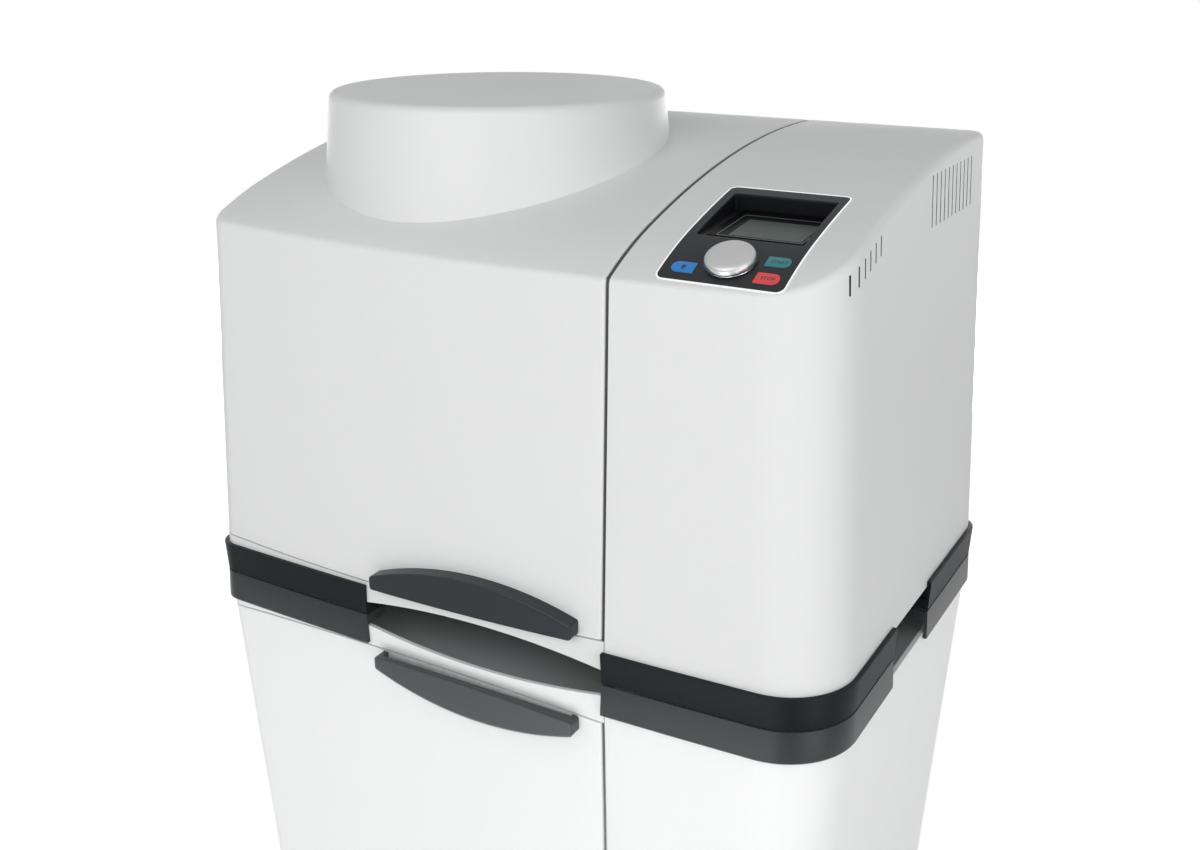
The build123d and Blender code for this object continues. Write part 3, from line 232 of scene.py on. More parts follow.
def wireSurface(n, links, vector, grainVector, source, result):
    given = source.outputs
    blotch = n.new("ShaderNodeTexNoise")
    blotch.inputs["Detail"].default_value = surfaceNoise["blotchDetail"]
    links.new(vector, blotch.inputs["Vector"])
    links.new(given["Blotch Scale"], blotch.inputs["Scale"])
    centred = mathStep(n, links, "SUBTRACT", blotch.outputs["Fac"], 0.5)
    bright = mathStep(n, links, "MULTIPLY_ADD", mathStep(n, links, "MULTIPLY", centred, given["Spread"]), 2.0, 1.0)
    tone = n.new("ShaderNodeVectorMath")
    tone.operation = "SCALE"
    links.new(given["Color"], tone.inputs[0])
    links.new(bright, tone.inputs["Scale"])
    links.new(tone.outputs[0], result.inputs["Color"])
    grain = n.new("ShaderNodeTexNoise")
    grain.inputs["Detail"].default_value = surfaceNoise["grainDetail"]
    grain.inputs["Roughness"].default_value = surfaceNoise["grainRoughness"]
    links.new(grainVector, grain.inputs["Vector"])
    links.new(given["Grain Scale"], grain.inputs["Scale"])
    fromMiddle = mathStep(n, links, "SUBTRACT", grain.outputs["Fac"], 0.5)
    rough = mathStep(n, links, "MULTIPLY_ADD", fromMiddle, given["Roughness Spread"], given["Roughness"])
    links.new(rough, result.inputs["Roughness"])
    bump = n.new("ShaderNodeBump")
    bump.inputs["Strength"].default_value = 1.0
    links.new(grain.outputs["Fac"], bump.inputs["Height"])
    links.new(given["Grain Depth"], bump.inputs["Distance"])
    links.new(bump.outputs["Normal"], result.inputs["Normal"])


def makeMouldedGroup():
    group, n, links, source, result, place = surfaceGroup("mouldedSurface")
    wireSurface(n, links, place, place, source, result)
    return group


def makeBrushedGroup():
    stretch = ("Stretch", "NodeSocketVector", (1.0, 1.0, 0.03))
    group, n, links, source, result, place = surfaceGroup("brushedSurface", [stretch])
    drawn = n.new("ShaderNodeVectorMath")
    drawn.operation = "MULTIPLY"
    links.new(place, drawn.inputs[0])
    links.new(source.outputs["Stretch"], drawn.inputs[1])
    wireSurface(n, links, place, drawn.outputs[0], source, result)
    return group


def makeTurnedGroup():
    centre = ("Centre", "NodeSocketVector", (0.0, 0.0, 0.0))
    group, n, links, source, result, place = surfaceGroup("turnedSurface", [centre])
    moved = n.new("ShaderNodeVectorMath")
    moved.operation = "SUBTRACT"
    links.new(place, moved.inputs[0])
    links.new(source.outputs["Centre"], moved.inputs[1])
    parts = n.new("ShaderNodeSeparateXYZ")
    links.new(moved.outputs[0], parts.inputs[0])
    flat = n.new("ShaderNodeCombineXYZ")
    links.new(parts.outputs["X"], flat.inputs["X"])
    links.new(parts.outputs["Y"], flat.inputs["Y"])
    length = n.new("ShaderNodeVectorMath")
    length.operation = "LENGTH"
    links.new(flat.outputs[0], length.inputs[0])
    rings = n.new("ShaderNodeCombineXYZ")
    links.new(length.outputs["Value"], rings.inputs["X"])
    links.new(parts.outputs["Z"], rings.inputs["Y"])
    wireSurface(n, links, place, rings.outputs[0], source, result)
    return group


surfaceGroups = {"moulded": makeMouldedGroup(), "brushed": makeBrushedGroup(), "turned": makeTurnedGroup()}


def finish(name, color, roughness=0.4, metallic=0.0, style="moulded", spread=0.03, blotch=9.0, roughSpread=0.08,
           grain=900.0, depth=0.00003, coat=0.0, coatRoughness=0.2, specular=0.5, stretch=None, centre=None):
    material, n, links = newMaterial(name)
    shader = n.new("ShaderNodeBsdfPrincipled")
    shader.inputs["Metallic"].default_value = metallic
    shader.inputs["Coat Weight"].default_value = coat
    shader.inputs["Coat Roughness"].default_value = coatRoughness
    shader.inputs["Specular IOR Level"].default_value = specular
    surface = n.new("ShaderNodeGroup")
    surface.node_tree = surfaceGroups[style]
    values = {"Color": (*color, 1), "Spread": spread, "Blotch Scale": blotch, "Roughness": roughness,
              "Roughness Spread": roughSpread, "Grain Scale": grain, "Grain Depth": depth}
    if stretch:
        values["Stretch"] = stretch
    if centre:
        values["Centre"] = centre
    for label, value in values.items():
        surface.inputs[label].default_value = value
    links.new(surface.outputs["Color"], shader.inputs["Base Color"])
    links.new(surface.outputs["Roughness"], shader.inputs["Roughness"])
    links.new(surface.outputs["Normal"], shader.inputs["Normal"])
    output = n.new("ShaderNodeOutputMaterial")
    links.new(shader.outputs[0], output.inputs["Surface"])
    return material


stationCentre = (-0.106, 0.0, 0.0)
planetCentre = (-0.106, -0.0705, 0.0)
motorCentre = (0.206, 0.0, 0.0)

# settings that several finishes share
casing = dict(color=(0.800, 0.806, 0.800), roughness=0.46, spread=0.012, blotch=3.0, roughSpread=0.10, grain=1050.0,
              depth=0.000075, specular=0.28)
darkPlastic = dict(roughness=0.34, spread=0.10, blotch=14.0, roughSpread=0.12, grain=1400.0, depth=0.00004)
keyFilm = dict(roughness=0.42, spread=0.05, blotch=120.0, grain=2600.0, depth=0.00002)
shaftSteel = dict(color=(0.56, 0.57, 0.58), style="turned", metallic=1.0, roughness=0.26, roughSpread=0.16, spread=0.03,
                  grain=2600.0, depth=0.00001)
wheelAluminium = dict(color=(0.66, 0.665, 0.67), style="turned", metallic=1.0, roughness=0.36, roughSpread=0.2,
                      spread=0.04, blotch=14.0, grain=1800.0, depth=0.00003)

finishes = {
    "casingPaint": casing,
    # the casing paint, given painted shade in the side wall's vent slots further down
    "sideCasingPaintWithSlotShade": casing,
    "charcoalPlastic": dict(darkPlastic, color=(0.009, 0.011, 0.014), specular=0.14),
    # painted light: the skirts' dark plastic given a lighter colour for the light that falls on the handle's top
    "handlePlasticPaintedLight": dict(darkPlastic, color=(0.017, 0.020, 0.025), specular=0.36),
    # the panel's film, which also carries the painted shade of the display well's walls
    "bezelFilmWithWellShade": dict(color=(0.022, 0.024, 0.028), roughness=0.48, spread=0.05, blotch=30.0, grain=2600.0,
                      specular=0.16),
    "displayBlack": dict(color=(0.003, 0.003, 0.004), roughness=0.30, spread=0.04, roughSpread=0.04, grain=3000.0,
                         depth=0.000004, specular=0.02),
    "glassEdge": dict(color=(0.085, 0.088, 0.092), roughness=0.30, spread=0.05, grain=2600.0, depth=0.00001,
                      specular=0.4),
    "crystalFace": dict(color=(0.078, 0.102, 0.088), roughness=0.30, spread=0.06, blotch=60.0, roughSpread=0.03,
                        grain=4200.0, depth=0.000003, specular=0.06),
    "knobSatin": dict(color=(0.47, 0.47, 0.475), roughness=0.46, metallic=0.85, spread=0.07, blotch=60.0,
                      roughSpread=0.22, grain=1500.0, depth=0.00010),
    "knobPolished": dict(color=(0.74, 0.74, 0.75), roughness=0.24, metallic=0.95, blotch=60.0, roughSpread=0.10,
                         grain=2400.0, depth=0.000015),
    "keyBlue": dict(keyFilm, color=(0.012, 0.215, 0.62)),
    "keyTeal": dict(keyFilm, color=(0.006, 0.195, 0.215)),
    "keyRed": dict(keyFilm, color=(0.745, 0.060, 0.062)),
    "keyInk": dict(color=(0.016, 0.020, 0.028), roughness=0.5, spread=0.04, blotch=200.0, grain=3000.0, depth=0.00001),
    # near-white mirror of the painted highlight round the control panel
    "edgeHighlightLine": dict(color=(0.98, 0.98, 0.98), roughness=0.22, metallic=1.0, spread=0.01, roughSpread=0.04,
                     grain=2600.0, depth=0.000006),
    "rubberBlack": dict(color=(0.022, 0.022, 0.024), roughness=0.72, spread=0.16, blotch=40.0, grain=1500.0,
                        depth=0.00006),
    "sealRubber": dict(color=(0.040, 0.040, 0.043), roughness=0.62, spread=0.10, blotch=50.0, grain=2200.0,
                       depth=0.00004),
    "beltRubber": dict(color=(0.020, 0.020, 0.021), roughness=0.66, style="brushed", spread=0.12, blotch=40.0,
                       depth=0.00012, stretch=(0.02, 0.02, 1.0)),
    "plateCoat": dict(color=(0.235, 0.242, 0.250), roughness=0.55, spread=0.05, blotch=12.0, grain=1600.0,
                      depth=0.00006),
    "chamberPlastic": dict(color=(0.135, 0.139, 0.145), roughness=0.52, spread=0.05, blotch=10.0, depth=0.00009),
    "basinSteel": dict(color=(0.60, 0.60, 0.59), metallic=1.0, roughness=0.30, style="turned", grain=2200.0,
                       roughSpread=0.18, depth=0.00002, blotch=12.0, centre=stationCentre),
    "jarSteel": dict(color=(0.63, 0.63, 0.62), metallic=1.0, roughness=0.22, style="turned", grain=2600.0,
                     roughSpread=0.16, depth=0.00002, spread=0.02, blotch=20.0, centre=planetCentre),
    "lidSteel": dict(color=(0.60, 0.60, 0.60), metallic=1.0, roughness=0.27, style="turned", grain=3000.0,
                     roughSpread=0.18, spread=0.02, blotch=20.0, centre=planetCentre),
    "clampSteel": dict(color=(0.55, 0.55, 0.555), metallic=1.0, roughness=0.34, style="brushed", grain=1400.0,
                       roughSpread=0.2, depth=0.00002, blotch=24.0, stretch=(0.05, 1.0, 1.0)),
    "groundSteel": dict(shaftSteel, centre=stationCentre),
    "motorSteel": dict(shaftSteel, centre=motorCentre),
    "ballSteel": dict(color=(0.60, 0.60, 0.61), metallic=1.0, roughness=0.16, blotch=70.0, roughSpread=0.10,
                      grain=1800.0, depth=0.00001),
    "turnedAluminium": dict(wheelAluminium, centre=stationCentre),
    "planetAluminium": dict(wheelAluminium, centre=planetCentre),
    "motorAluminium": dict(wheelAluminium, color=(0.62, 0.625, 0.63), roughness=0.38, centre=motorCentre),
    "wheelIron": dict(color=(0.105, 0.110, 0.118), roughness=0.46, metallic=0.35, spread=0.10, blotch=24.0, grain=700.0,
                      depth=0.00010),
    "housingIron": dict(color=(0.075, 0.080, 0.086), roughness=0.52, metallic=0.2, spread=0.10, blotch=24.0,
                        grain=800.0, depth=0.00012),
    "motorEnamel": dict(color=(0.110, 0.130, 0.160), roughness=0.38, spread=0.06, blotch=16.0, grain=700.0,
                        depth=0.00008),
    "castAluminium": dict(color=(0.50, 0.505, 0.51), roughness=0.44, metallic=1.0, spread=0.06, blotch=20.0,
                          depth=0.00006),
    "glossBlack": dict(color=(0.014, 0.014, 0.016), roughness=0.24, spread=0.10, blotch=40.0, grain=1800.0,
                       depth=0.00002),
    "boardGreen": dict(color=(0.012, 0.115, 0.045), roughness=0.34, spread=0.22, blotch=220.0, depth=0.00004, coat=0.3),
    "zincSteel": dict(color=(0.58, 0.58, 0.57), roughness=0.32, metallic=1.0, spread=0.05, blotch=60.0, roughSpread=0.2,
                      grain=2600.0, depth=0.00002),
    "blackSteel": dict(color=(0.030, 0.030, 0.032), roughness=0.38, metallic=0.6, spread=0.08, blotch=60.0,
                       grain=2600.0, depth=0.00002),
}
materials = {name: finish(name, **settings) for name, settings in finishes.items()}

# the crown of the top, in metres: a large arc and a smaller one at the front that joins it without a crease
crown = {"top": 0.4178, "apexY": 0.168, "radius": 1.0, "noseRadius": 0.330, "joinY": -0.130}
crown["lean"] = asin((crown["apexY"] - crown["joinY"]) / crown["radius"])
crown["joinZ"] = crown["top"] - crown["radius"] * (1 - cos(crown["lean"]))
crown["noseY"] = crown["joinY"] + crown["noseRadius"] * sin(crown["lean"])
crown["noseZ"] = crown["joinZ"] - crown["noseRadius"] * cos(crown["lean"])


def crownHeight(y):
    if y > crown["joinY"]:
        return crown["top"] - crown["radius"] + sqrt(crown["radius"] ** 2 - (y - crown["apexY"]) ** 2)
    return crown["noseZ"] + sqrt(crown["noseRadius"] ** 2 - (y - crown["noseY"]) ** 2)


def crownPlace(x, y, above):
    if y > crown["joinY"]:
        lean = asin((crown["apexY"] - y) / crown["radius"])
    else:
        lean = asin((crown["noseY"] - y) / crown["noseRadius"])
    turn = Matrix.Rotation(lean, 4, "X")
    return Matrix.Translation((x, y, crownHeight(y))) @ turn @ Matrix.Translation((0, 0, above))


def placeParts(material):
    n, links = material.node_tree.nodes, material.node_tree.links
    parts = n.new("ShaderNodeSeparateXYZ")
    links.new(n.new("ShaderNodeTexCoord").outputs["Object"], parts.inputs[0])
    return n, links, parts.outputs


def colorWhere(material, mask, color):   # a second colour over the finish, where the mask is 1
    n, links = material.node_tree.nodes, material.node_tree.links
    shader = next(node for node in n if node.type == "BSDF_PRINCIPLED")
    painted = shader.inputs["Base Color"].links[0].from_socket
    mix = n.new("ShaderNodeMix")
    mix.data_type = "RGBA"
    links.new(mask, mix.inputs["Factor"])
    links.new(painted, mix.inputs["A"])
    mix.inputs["B"].default_value = color
    links.new(mix.outputs["Result"], shader.inputs["Base Color"])


# where the side wall is cut by the vent slots, in metres; painted shade: a slot's flanks below the wall's face take a
# dark colour that stands for the shade inside the slot
ventPaintedShade = {
    "wall": 0.31684, "lean": 0.0559, "cornerFrom": -0.130, "cornerRadius": 0.062,
    "deep": (0.00022, 0.0052),
    "tallY": (0.036, 0.160), "tallZ": (0.356, 0.4022),
    "shortY": (-0.153, -0.088), "shortLine": (0.4043, 0.31), "shortHigh": 0.019,
    "color": (0.035, 0.037, 0.040, 1),
}


def paintSlotShade(material, s):
    n, links, (x, y, z) = placeParts(material)
    outer = mathStep(n, links, "SUBTRACT", s["wall"], mathStep(n, links, "MULTIPLY", z, s["lean"]))
    turn = mathStep(n, links, "MAXIMUM", mathStep(n, links, "SUBTRACT", s["cornerFrom"], y), 0.0)
    bend = mathStep(n, links, "DIVIDE", mathStep(n, links, "MULTIPLY", turn, turn), 2 * s["cornerRadius"])
    deep = mathStep(n, links, "SUBTRACT", mathStep(n, links, "SUBTRACT", outer, bend), x)

    def between(value, low, high):
        above = mathStep(n, links, "GREATER_THAN", value, low)
        return mathStep(n, links, "MULTIPLY", above, mathStep(n, links, "LESS_THAN", value, high))

    tall = mathStep(n, links, "MULTIPLY", between(y, *s["tallY"]), between(z, *s["tallZ"]))
    start, rise = s["shortLine"]
    below = mathStep(n, links, "SUBTRACT", mathStep(n, links, "MULTIPLY_ADD", y, rise, start), z)
    short = mathStep(n, links, "MULTIPLY", between(y, *s["shortY"]), between(below, 0.0, s["shortHigh"]))
    slots = mathStep(n, links, "MAXIMUM", tall, short)
    # painted shade on the slot flanks that lie below the wall's outer face
    colorWhere(material, mathStep(n, links, "MULTIPLY", slots, between(deep, *s["deep"])), s["color"])


paintSlotShade(materials["sideCasingPaintWithSlotShade"], ventPaintedShade)

# painted shade: the walls of the display well take a darker colour below the panel's face, standing for the shade in
# the well
wellPaintedShade = {"deep": (0.0005, 0.0022), "frontY": -0.1365, "color": (0.0035, 0.0038, 0.0045, 1)}


def paintWellShade(material, s):
    n, links, (x, y, z) = placeParts(material)
    away = mathStep(n, links, "SUBTRACT", y, crown["apexY"])
    under = mathStep(n, links, "SUBTRACT", crown["radius"] ** 2, mathStep(n, links, "MULTIPLY", away, away))
    face = mathStep(n, links, "ADD", mathStep(n, links, "SQRT", under), crown["top"] - crown["radius"])
    deep = n.new("ShaderNodeMapRange")
    deep.interpolation_type = "SMOOTHSTEP"
    deep.inputs["From Min"].default_value, deep.inputs["From Max"].default_value = s["deep"]
    links.new(mathStep(n, links, "SUBTRACT", face, z), deep.inputs["Value"])
    behind = mathStep(n, links, "GREATER_THAN", y, s["frontY"])
    # painted shade where the well's walls lie below the panel's face
    colorWhere(material, mathStep(n, links, "MULTIPLY", deep.outputs["Result"], behind), s["color"])


paintWellShade(materials["bezelFilmWithWellShade"], wellPaintedShade)

nodeFinish = {
    "casingPaint": ("hood", "rear_cover", "base_rim", "rear_panel"),
    "sideCasingPaintWithSlotShade": ("side_housing",),
    "handlePlasticPaintedLight": ("hood_handle",),
    "charcoalPlastic": ("front_left_skirt", "front_right_skirt", "rear_left_skirt", "rear_right_skirt"),
    "rubberBlack": ("rubber_feet",),
    "plateCoat": ("base_plate", "bearing_bridge", "motor_bracket", "hinge_brackets", "hinge_arms"),
    "chamberPlastic": ("chamber_body",),
    "basinSteel": ("chamber_basin",),
    "sealRubber": ("chamber_seal", "jar_seal"),
    "housingIron": ("bearing_housing",),
    "wheelIron": ("sun_wheel", "counterweight"),
    "groundSteel": ("main_bearings", "main_shaft", "planet_bearing", "planet_shaft", "pressure_pad", "hinge_pins",
                    "lock_bolt"),
    "zincSteel": ("lock_striker", "fan_guard"),
    "turnedAluminium": ("fixed_pulley", "main_pulley"),
    "planetAluminium": ("planet_pulley", "jar_holder"),
    "motorAluminium": ("motor_pulley",),
    "motorSteel": ("motor_shaft",),
    "beltRubber": ("drive_belt", "planet_belt"),
    "jarSteel": ("grinding_jar",),
    "lidSteel": ("jar_lid",),
    "clampSteel": ("clamp_bridge", "clamp_screw"),
    "ballSteel": ("grinding_balls",),
    "motorEnamel": ("motor",),
    "castAluminium": ("drive_unit",),
    "boardGreen": ("control_board",),
    "bezelFilmWithWellShade": ("panel_bezel",),
    "displayBlack": ("display_glass",),
    "knobSatin": ("turn_knob",),
    "keyBlue": ("key_light",),
    "keyTeal": ("key_start",),
    "keyRed": ("key_stop",),
    "glossBlack": ("lock_body", "fan_frame", "fan_rotor", "power_inlet", "switch_frame", "switch_rocker"),
}

# width of the small edge break on machined, sheet and moulded nodes, in metres
edgeBreak = {
    "rear_panel": 0.0003, "jar_holder": 0.0006, "clamp_bridge": 0.0005, "clamp_screw": 0.0005, "bearing_bridge": 0.0006,
    "motor_bracket": 0.0006, "hinge_brackets": 0.0006, "hinge_arms": 0.0005, "drive_unit": 0.0004, "lock_body": 0.0005,
    "power_inlet": 0.0003, "switch_frame": 0.0003, "key_light": 0.00035, "key_start": 0.00035, "key_stop": 0.00035,
    "base_plate": 0.0006,
}
nodeEdges = {"weld": 0.000002, "breakSegments": 2, "breakFrom": 50, "crispFrom": 32}   # metres and degrees


def dressNode(name, material, s):
    node = nodes[name]
    mesh = node.data
    mesh.materials.clear()
    mesh.materials.append(material)
    if "custom_normal" in mesh.attributes:
        mesh.attributes.remove(mesh.attributes["custom_normal"])
    mesh.polygons.foreach_set("use_smooth", [True] * len(mesh.polygons))
    weld = node.modifiers.new("weld", "WELD")
    weld.merge_threshold = s["weld"]
    if name in edgeBreak:
        softer = node.modifiers.new("edgeBreak", "BEVEL")
        softer.width = edgeBreak[name]
        softer.segments = s["breakSegments"]
        softer.limit_method = "ANGLE"
        softer.angle_limit = radians(s["breakFrom"])
    crisp = node.modifiers.new("crispEdges", "EDGE_SPLIT")
    crisp.split_angle = radians(s["crispFrom"])


for finishName, nodeNames in nodeFinish.items():
    for nodeName in nodeNames:
        dressNode(nodeName, materials[finishName], nodeEdges)
print("stage: node finishes,", sum(len(nodeNames) for nodeNames in nodeFinish.values()), "of", len(nodes))

mergeDistance = 0.0000005


def newVerts(made):
    return [g for g in made["geom"] if isinstance(g, bmesh.types.BMVert)]


def linkPiece(piece, body):
    scene.collection.objects.link(piece)
    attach(piece, body)


def finishPiece(bm, name, body, pieceMaterials, sharp=35, replaces=()):
    bmesh.ops.remove_doubles(bm, verts=bm.verts, dist=mergeDistance)
    bmesh.ops.recalc_face_normals(bm, faces=bm.faces)
    mesh = bpy.data.meshes.new(name)
    bm.to_mesh(mesh)
    bm.free()
    for material in pieceMaterials:
        mesh.materials.append(materials[material])
    mesh.polygons.foreach_set("use_smooth", [True] * len(mesh.polygons))
    mesh.set_sharp_from_angle(angle=radians(sharp))
    piece = bpy.data.objects.new(name, mesh)
    linkPiece(piece, body)
    if replaces:
        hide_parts(*replaces)


def lathe(bm, profile, steps):
    points = [bm.verts.new((radius, 0, height)) for radius, height in profile]
    edges = [bm.edges.new(pair) for pair in zip(points, points[1:])]
    bmesh.ops.spin(bm, geom=points + edges, axis=(0, 0, 1), cent=(0, 0, 0), angle=2 * pi, steps=steps, use_merge=True)
    bmesh.ops.remove_doubles(bm, verts=bm.verts, dist=mergeDistance)


def addPlate(bm, x0, x1, y0, y1):
    bmesh.ops.create_grid(bm, x_segments=1, y_segments=1, size=0.5,
                          matrix=Matrix.Translation(((x0 + x1) / 2, (y0 + y1) / 2, 0))
                          @ Matrix.Diagonal((x1 - x0, y1 - y0, 1, 1)))


def roundCorners(bm, corner, segments):
    bmesh.ops.bevel(bm, geom=bm.verts[:], offset=corner, segments=segments, profile=0.5, affect="VERTICES", material=-1)


def roundedRing(bm, x0, x1, y0, y1, corner, wide, segments):
    addPlate(bm, x0, x1, y0, y1)
    roundCorners(bm, corner, segments)
    middle = bm.faces[:]
    bmesh.ops.inset_region(bm, faces=middle, thickness=wide, use_boundary=True)
    bmesh.ops.delete(bm, geom=middle, context="FACES")


def raiseFaces(bm, high):
    made = bmesh.ops.extrude_face_region(bm, geom=bm.faces[:])
    bmesh.ops.translate(bm, vec=(0, 0, high), verts=newVerts(made))


print("stage: helpers")

# painted highlight: a thin near-white mirror ring round the control panel that stands for the lit edge of the panel's
# recess
panelEdgeHighlight = {"x": (0.1545, 0.2585), "y": (-0.1895, -0.0490), "corner": 0.0070, "cornerSegments": 6, "wide": 0.0013,
             "proud": 0.0006, "sunk": 0.0002, "cuts": 24, "longEdge": 0.04}


def makePanelEdgeHighlight(s):
    bm = bmesh.new()
    roundedRing(bm, *s["x"], *s["y"], s["corner"], s["wide"], s["cornerSegments"])
    longEdges = [e for e in bm.edges if e.calc_length() > s["longEdge"]]
    bmesh.ops.subdivide_edges(bm, edges=longEdges, cuts=s["cuts"], use_grid_fill=True)
    raiseFaces(bm, s["proud"])
    for vert in bm.verts:   # the ring lies on the crown
        vert.co.z += crownHeight(vert.co.y) - s["sunk"]
    finishPiece(bm, "panel_edge_highlight", "base", ["edgeHighlightLine"])


makePanelEdgeHighlight(panelEdgeHighlight)

display = {
    "floorY": -0.134, "tilt": 6.0, "below": 0.0012, "lift": 0.0001,
    "mask": (0.1715, 0.2500, -0.1325, -0.0625), "maskHigh": 0.0014, "maskInset": 0.004, "rim": 0.0004, "rimLong": 0.03,
    "window": (0.1868, 0.2462, -0.1275, -0.0850), "windowCorner": 0.0006, "windowHigh": 0.0011,
    "frame": (0.1790, 0.2492, -0.1316, -0.0760), "frameCorner": 0.0012, "line": 0.0006,
}


def displayPlace(s, above):
    return (Matrix.Translation((0, s["floorY"], crownHeight(s["floorY"]) - s["below"]))
            @ Matrix.Rotation(radians(s["tilt"]), 4, "X") @ Matrix.Translation((0, 0, above)))


def onFloor(s, box):   # a box of x0, x1, y0, y1 with its y measured from the front edge of the well's floor
    return box[0], box[1], box[2] - s["floorY"], box[3] - s["floorY"]


def makeDisplayMask(s):   # raised black mask round the crystal
    bm = bmesh.new()
    addPlate(bm, *onFloor(s, s["mask"]))
    middle = bm.faces[:]
    bmesh.ops.inset_region(bm, faces=middle, thickness=s["maskInset"], use_boundary=True)
    x0, x1, y0, y1 = onFloor(s, s["window"])
    inner = sorted(middle[0].verts, key=lambda v: (v.co.y, v.co.x))
    for vert, (x, y) in zip(inner, ((x0, y0), (x1, y0), (x0, y1), (x1, y1))):
        vert.co.x, vert.co.y = x, y
    bmesh.ops.delete(bm, geom=middle, context="FACES")
    raiseFaces(bm, s["maskHigh"])
    rim = [e for e in bm.edges if all(v.co.z > s["maskHigh"] * 0.9 for v in e.verts) and e.calc_length() > s["rimLong"]]
    bmesh.ops.bevel(bm, geom=rim, offset=s["rim"], segments=2, profile=0.5, affect="EDGES", material=-1)
    bmesh.ops.transform(bm, matrix=displayPlace(s, s["lift"]), verts=bm.verts)
    finishPiece(bm, "display_mask", "base", ["displayBlack"])


def makeDisplayEdge(s):   # thin bright edge of the glass round the mask
    bm = bmesh.new()
    roundedRing(bm, *onFloor(s, s["frame"]), s["frameCorner"], s["line"], 4)
    raiseFaces(bm, s["line"])
    bmesh.ops.transform(bm, matrix=displayPlace(s, s["maskHigh"] - s["lift"]), verts=bm.verts)
    finishPiece(bm, "display_edge", "base", ["glassEdge"])


def makeDisplayCrystal(s):   # a shallow pane that stands for the glass
    bm = bmesh.new()
    addPlate(bm, *onFloor(s, s["window"]))
    roundCorners(bm, s["windowCorner"], 3)
    raiseFaces(bm, s["windowHigh"])
    bmesh.ops.transform(bm, matrix=displayPlace(s, s["lift"]), verts=bm.verts)
    finishPiece(bm, "display_crystal", "base", ["crystalFace"], replaces=("display_glass",))


makeDisplayMask(display)
makeDisplayEdge(display)
makeDisplayCrystal(display)

knob = {
    "place": (0.207, -0.165), "above": 0.0006, "steps": 96, "sharp": 42,
    # radius and height from the foot to the crown of the turned body
    "body": ((0.0, 0.0), (0.0184, 0.0), (0.0190, 0.0003), (0.0191, 0.0009), (0.0189, 0.0012), (0.0197, 0.0016),
             (0.0198, 0.0022), (0.0196, 0.0042), (0.0192, 0.0060), (0.0186, 0.0071), (0.0176, 0.0080),
             (0.0160, 0.0088), (0.0135, 0.0095), (0.0100, 0.0101), (0.0050, 0.0105), (0.0, 0.0106)),
    "matteFrom": 0.0065,
}


def makeKnob(s):
    bm = bmesh.new()
    lathe(bm, s["body"], s["steps"])
    for face in bm.faces:
        face.material_index = 1 if face.calc_center_median().z > s["matteFrom"] else 0
    bmesh.ops.transform(bm, matrix=crownPlace(*s["place"], s["above"]), verts=bm.verts)
    finishPiece(bm, "knob_body", "turn_knob", ["knobPolished", "knobSatin"], s["sharp"], ("turn_knob",))


makeKnob(knob)

keyPrints = {
    "key_start": {"place": (0.2424, -0.1580), "words": "START", "height": 0.0046},
    "key_stop": {"place": (0.2414, -0.1765), "words": "STOP", "height": 0.0048},
}
printForm = {"above": 0.00068, "thick": 0.00008, "bolder": 0.018}   # metres, metres and a share of the letters' height


def makeKeyPrint(key, s, form):
    name = key + "_print"
    data = bpy.data.curves.new(name, "FONT")
    data.body = s["words"]
    data.size = s["height"]
    data.align_x, data.align_y = "CENTER", "CENTER"
    data.extrude = form["thick"]
    data.offset = s["height"] * form["bolder"]
    source = bpy.data.objects.new(name, data)
    scene.collection.objects.link(source)
    bpy.context.view_layer.update()
    mesh = bpy.data.meshes.new_from_object(source.evaluated_get(bpy.context.evaluated_depsgraph_get()))
    bpy.data.objects.remove(source)
    mesh.transform(crownPlace(*s["place"], form["above"]))
    mesh.materials.clear()
    mesh.materials.append(materials["keyInk"])
    linkPiece(bpy.data.objects.new(name, mesh), key)


for keyName, keySettings in keyPrints.items():
    makeKeyPrint(keyName, keySettings, printForm)

# a bulb and the two bars of its screw cap, in metres from the bulb's middle: half width, low and high
lampMark = {"place": (0.1732, -0.1752), "shift": 0.0010, "radius": 0.0017, "thick": 0.00012, "steps": 28,
            "bars": ((0.0009, -0.0031, -0.0012), (0.00063, -0.0036, -0.0033))}


def makeLampMark(s):
    bm = bmesh.new()
    lathe(bm, ((0.0, 0.0), (s["radius"], 0.0), (s["radius"], s["thick"]), (0.0, s["thick"])), s["steps"])
    for half, low, high in s["bars"]:
        bmesh.ops.create_cube(bm, size=1.0, matrix=Matrix.Translation((0, (low + high) / 2, s["thick"] / 2))
                              @ Matrix.Diagonal((2 * half, high - low, s["thick"], 1)))
    place = crownPlace(*s["place"], printForm["above"]) @ Matrix.Translation((0, s["shift"], 0))
    bmesh.ops.transform(bm, matrix=place, verts=bm.verts)
    finishPiece(bm, "key_light_mark", "key_light", ["keyInk"])


makeLampMark(lampMark)
print("stage: control panel")

# dark rubber lip in the seam, fixed to the control side; it sits just under the surface so that its dark fills the gap,
# partly a seal and partly painted shade for the seam's gap
seamShadeLip = {"x": (0.1184, 0.1209), "deep": (0.0005, 0.0034), "low": 0.030, "middle": 0.18, "front": (-0.2046, 0.024),
          "draft": 1.45, "bow": 0.0012, "crease": -0.1990, "creaseDrop": 0.001, "back": 0.2085, "edge": 0.0045,
          "steps": 30, "probe": 0.001, "sharp": 50}


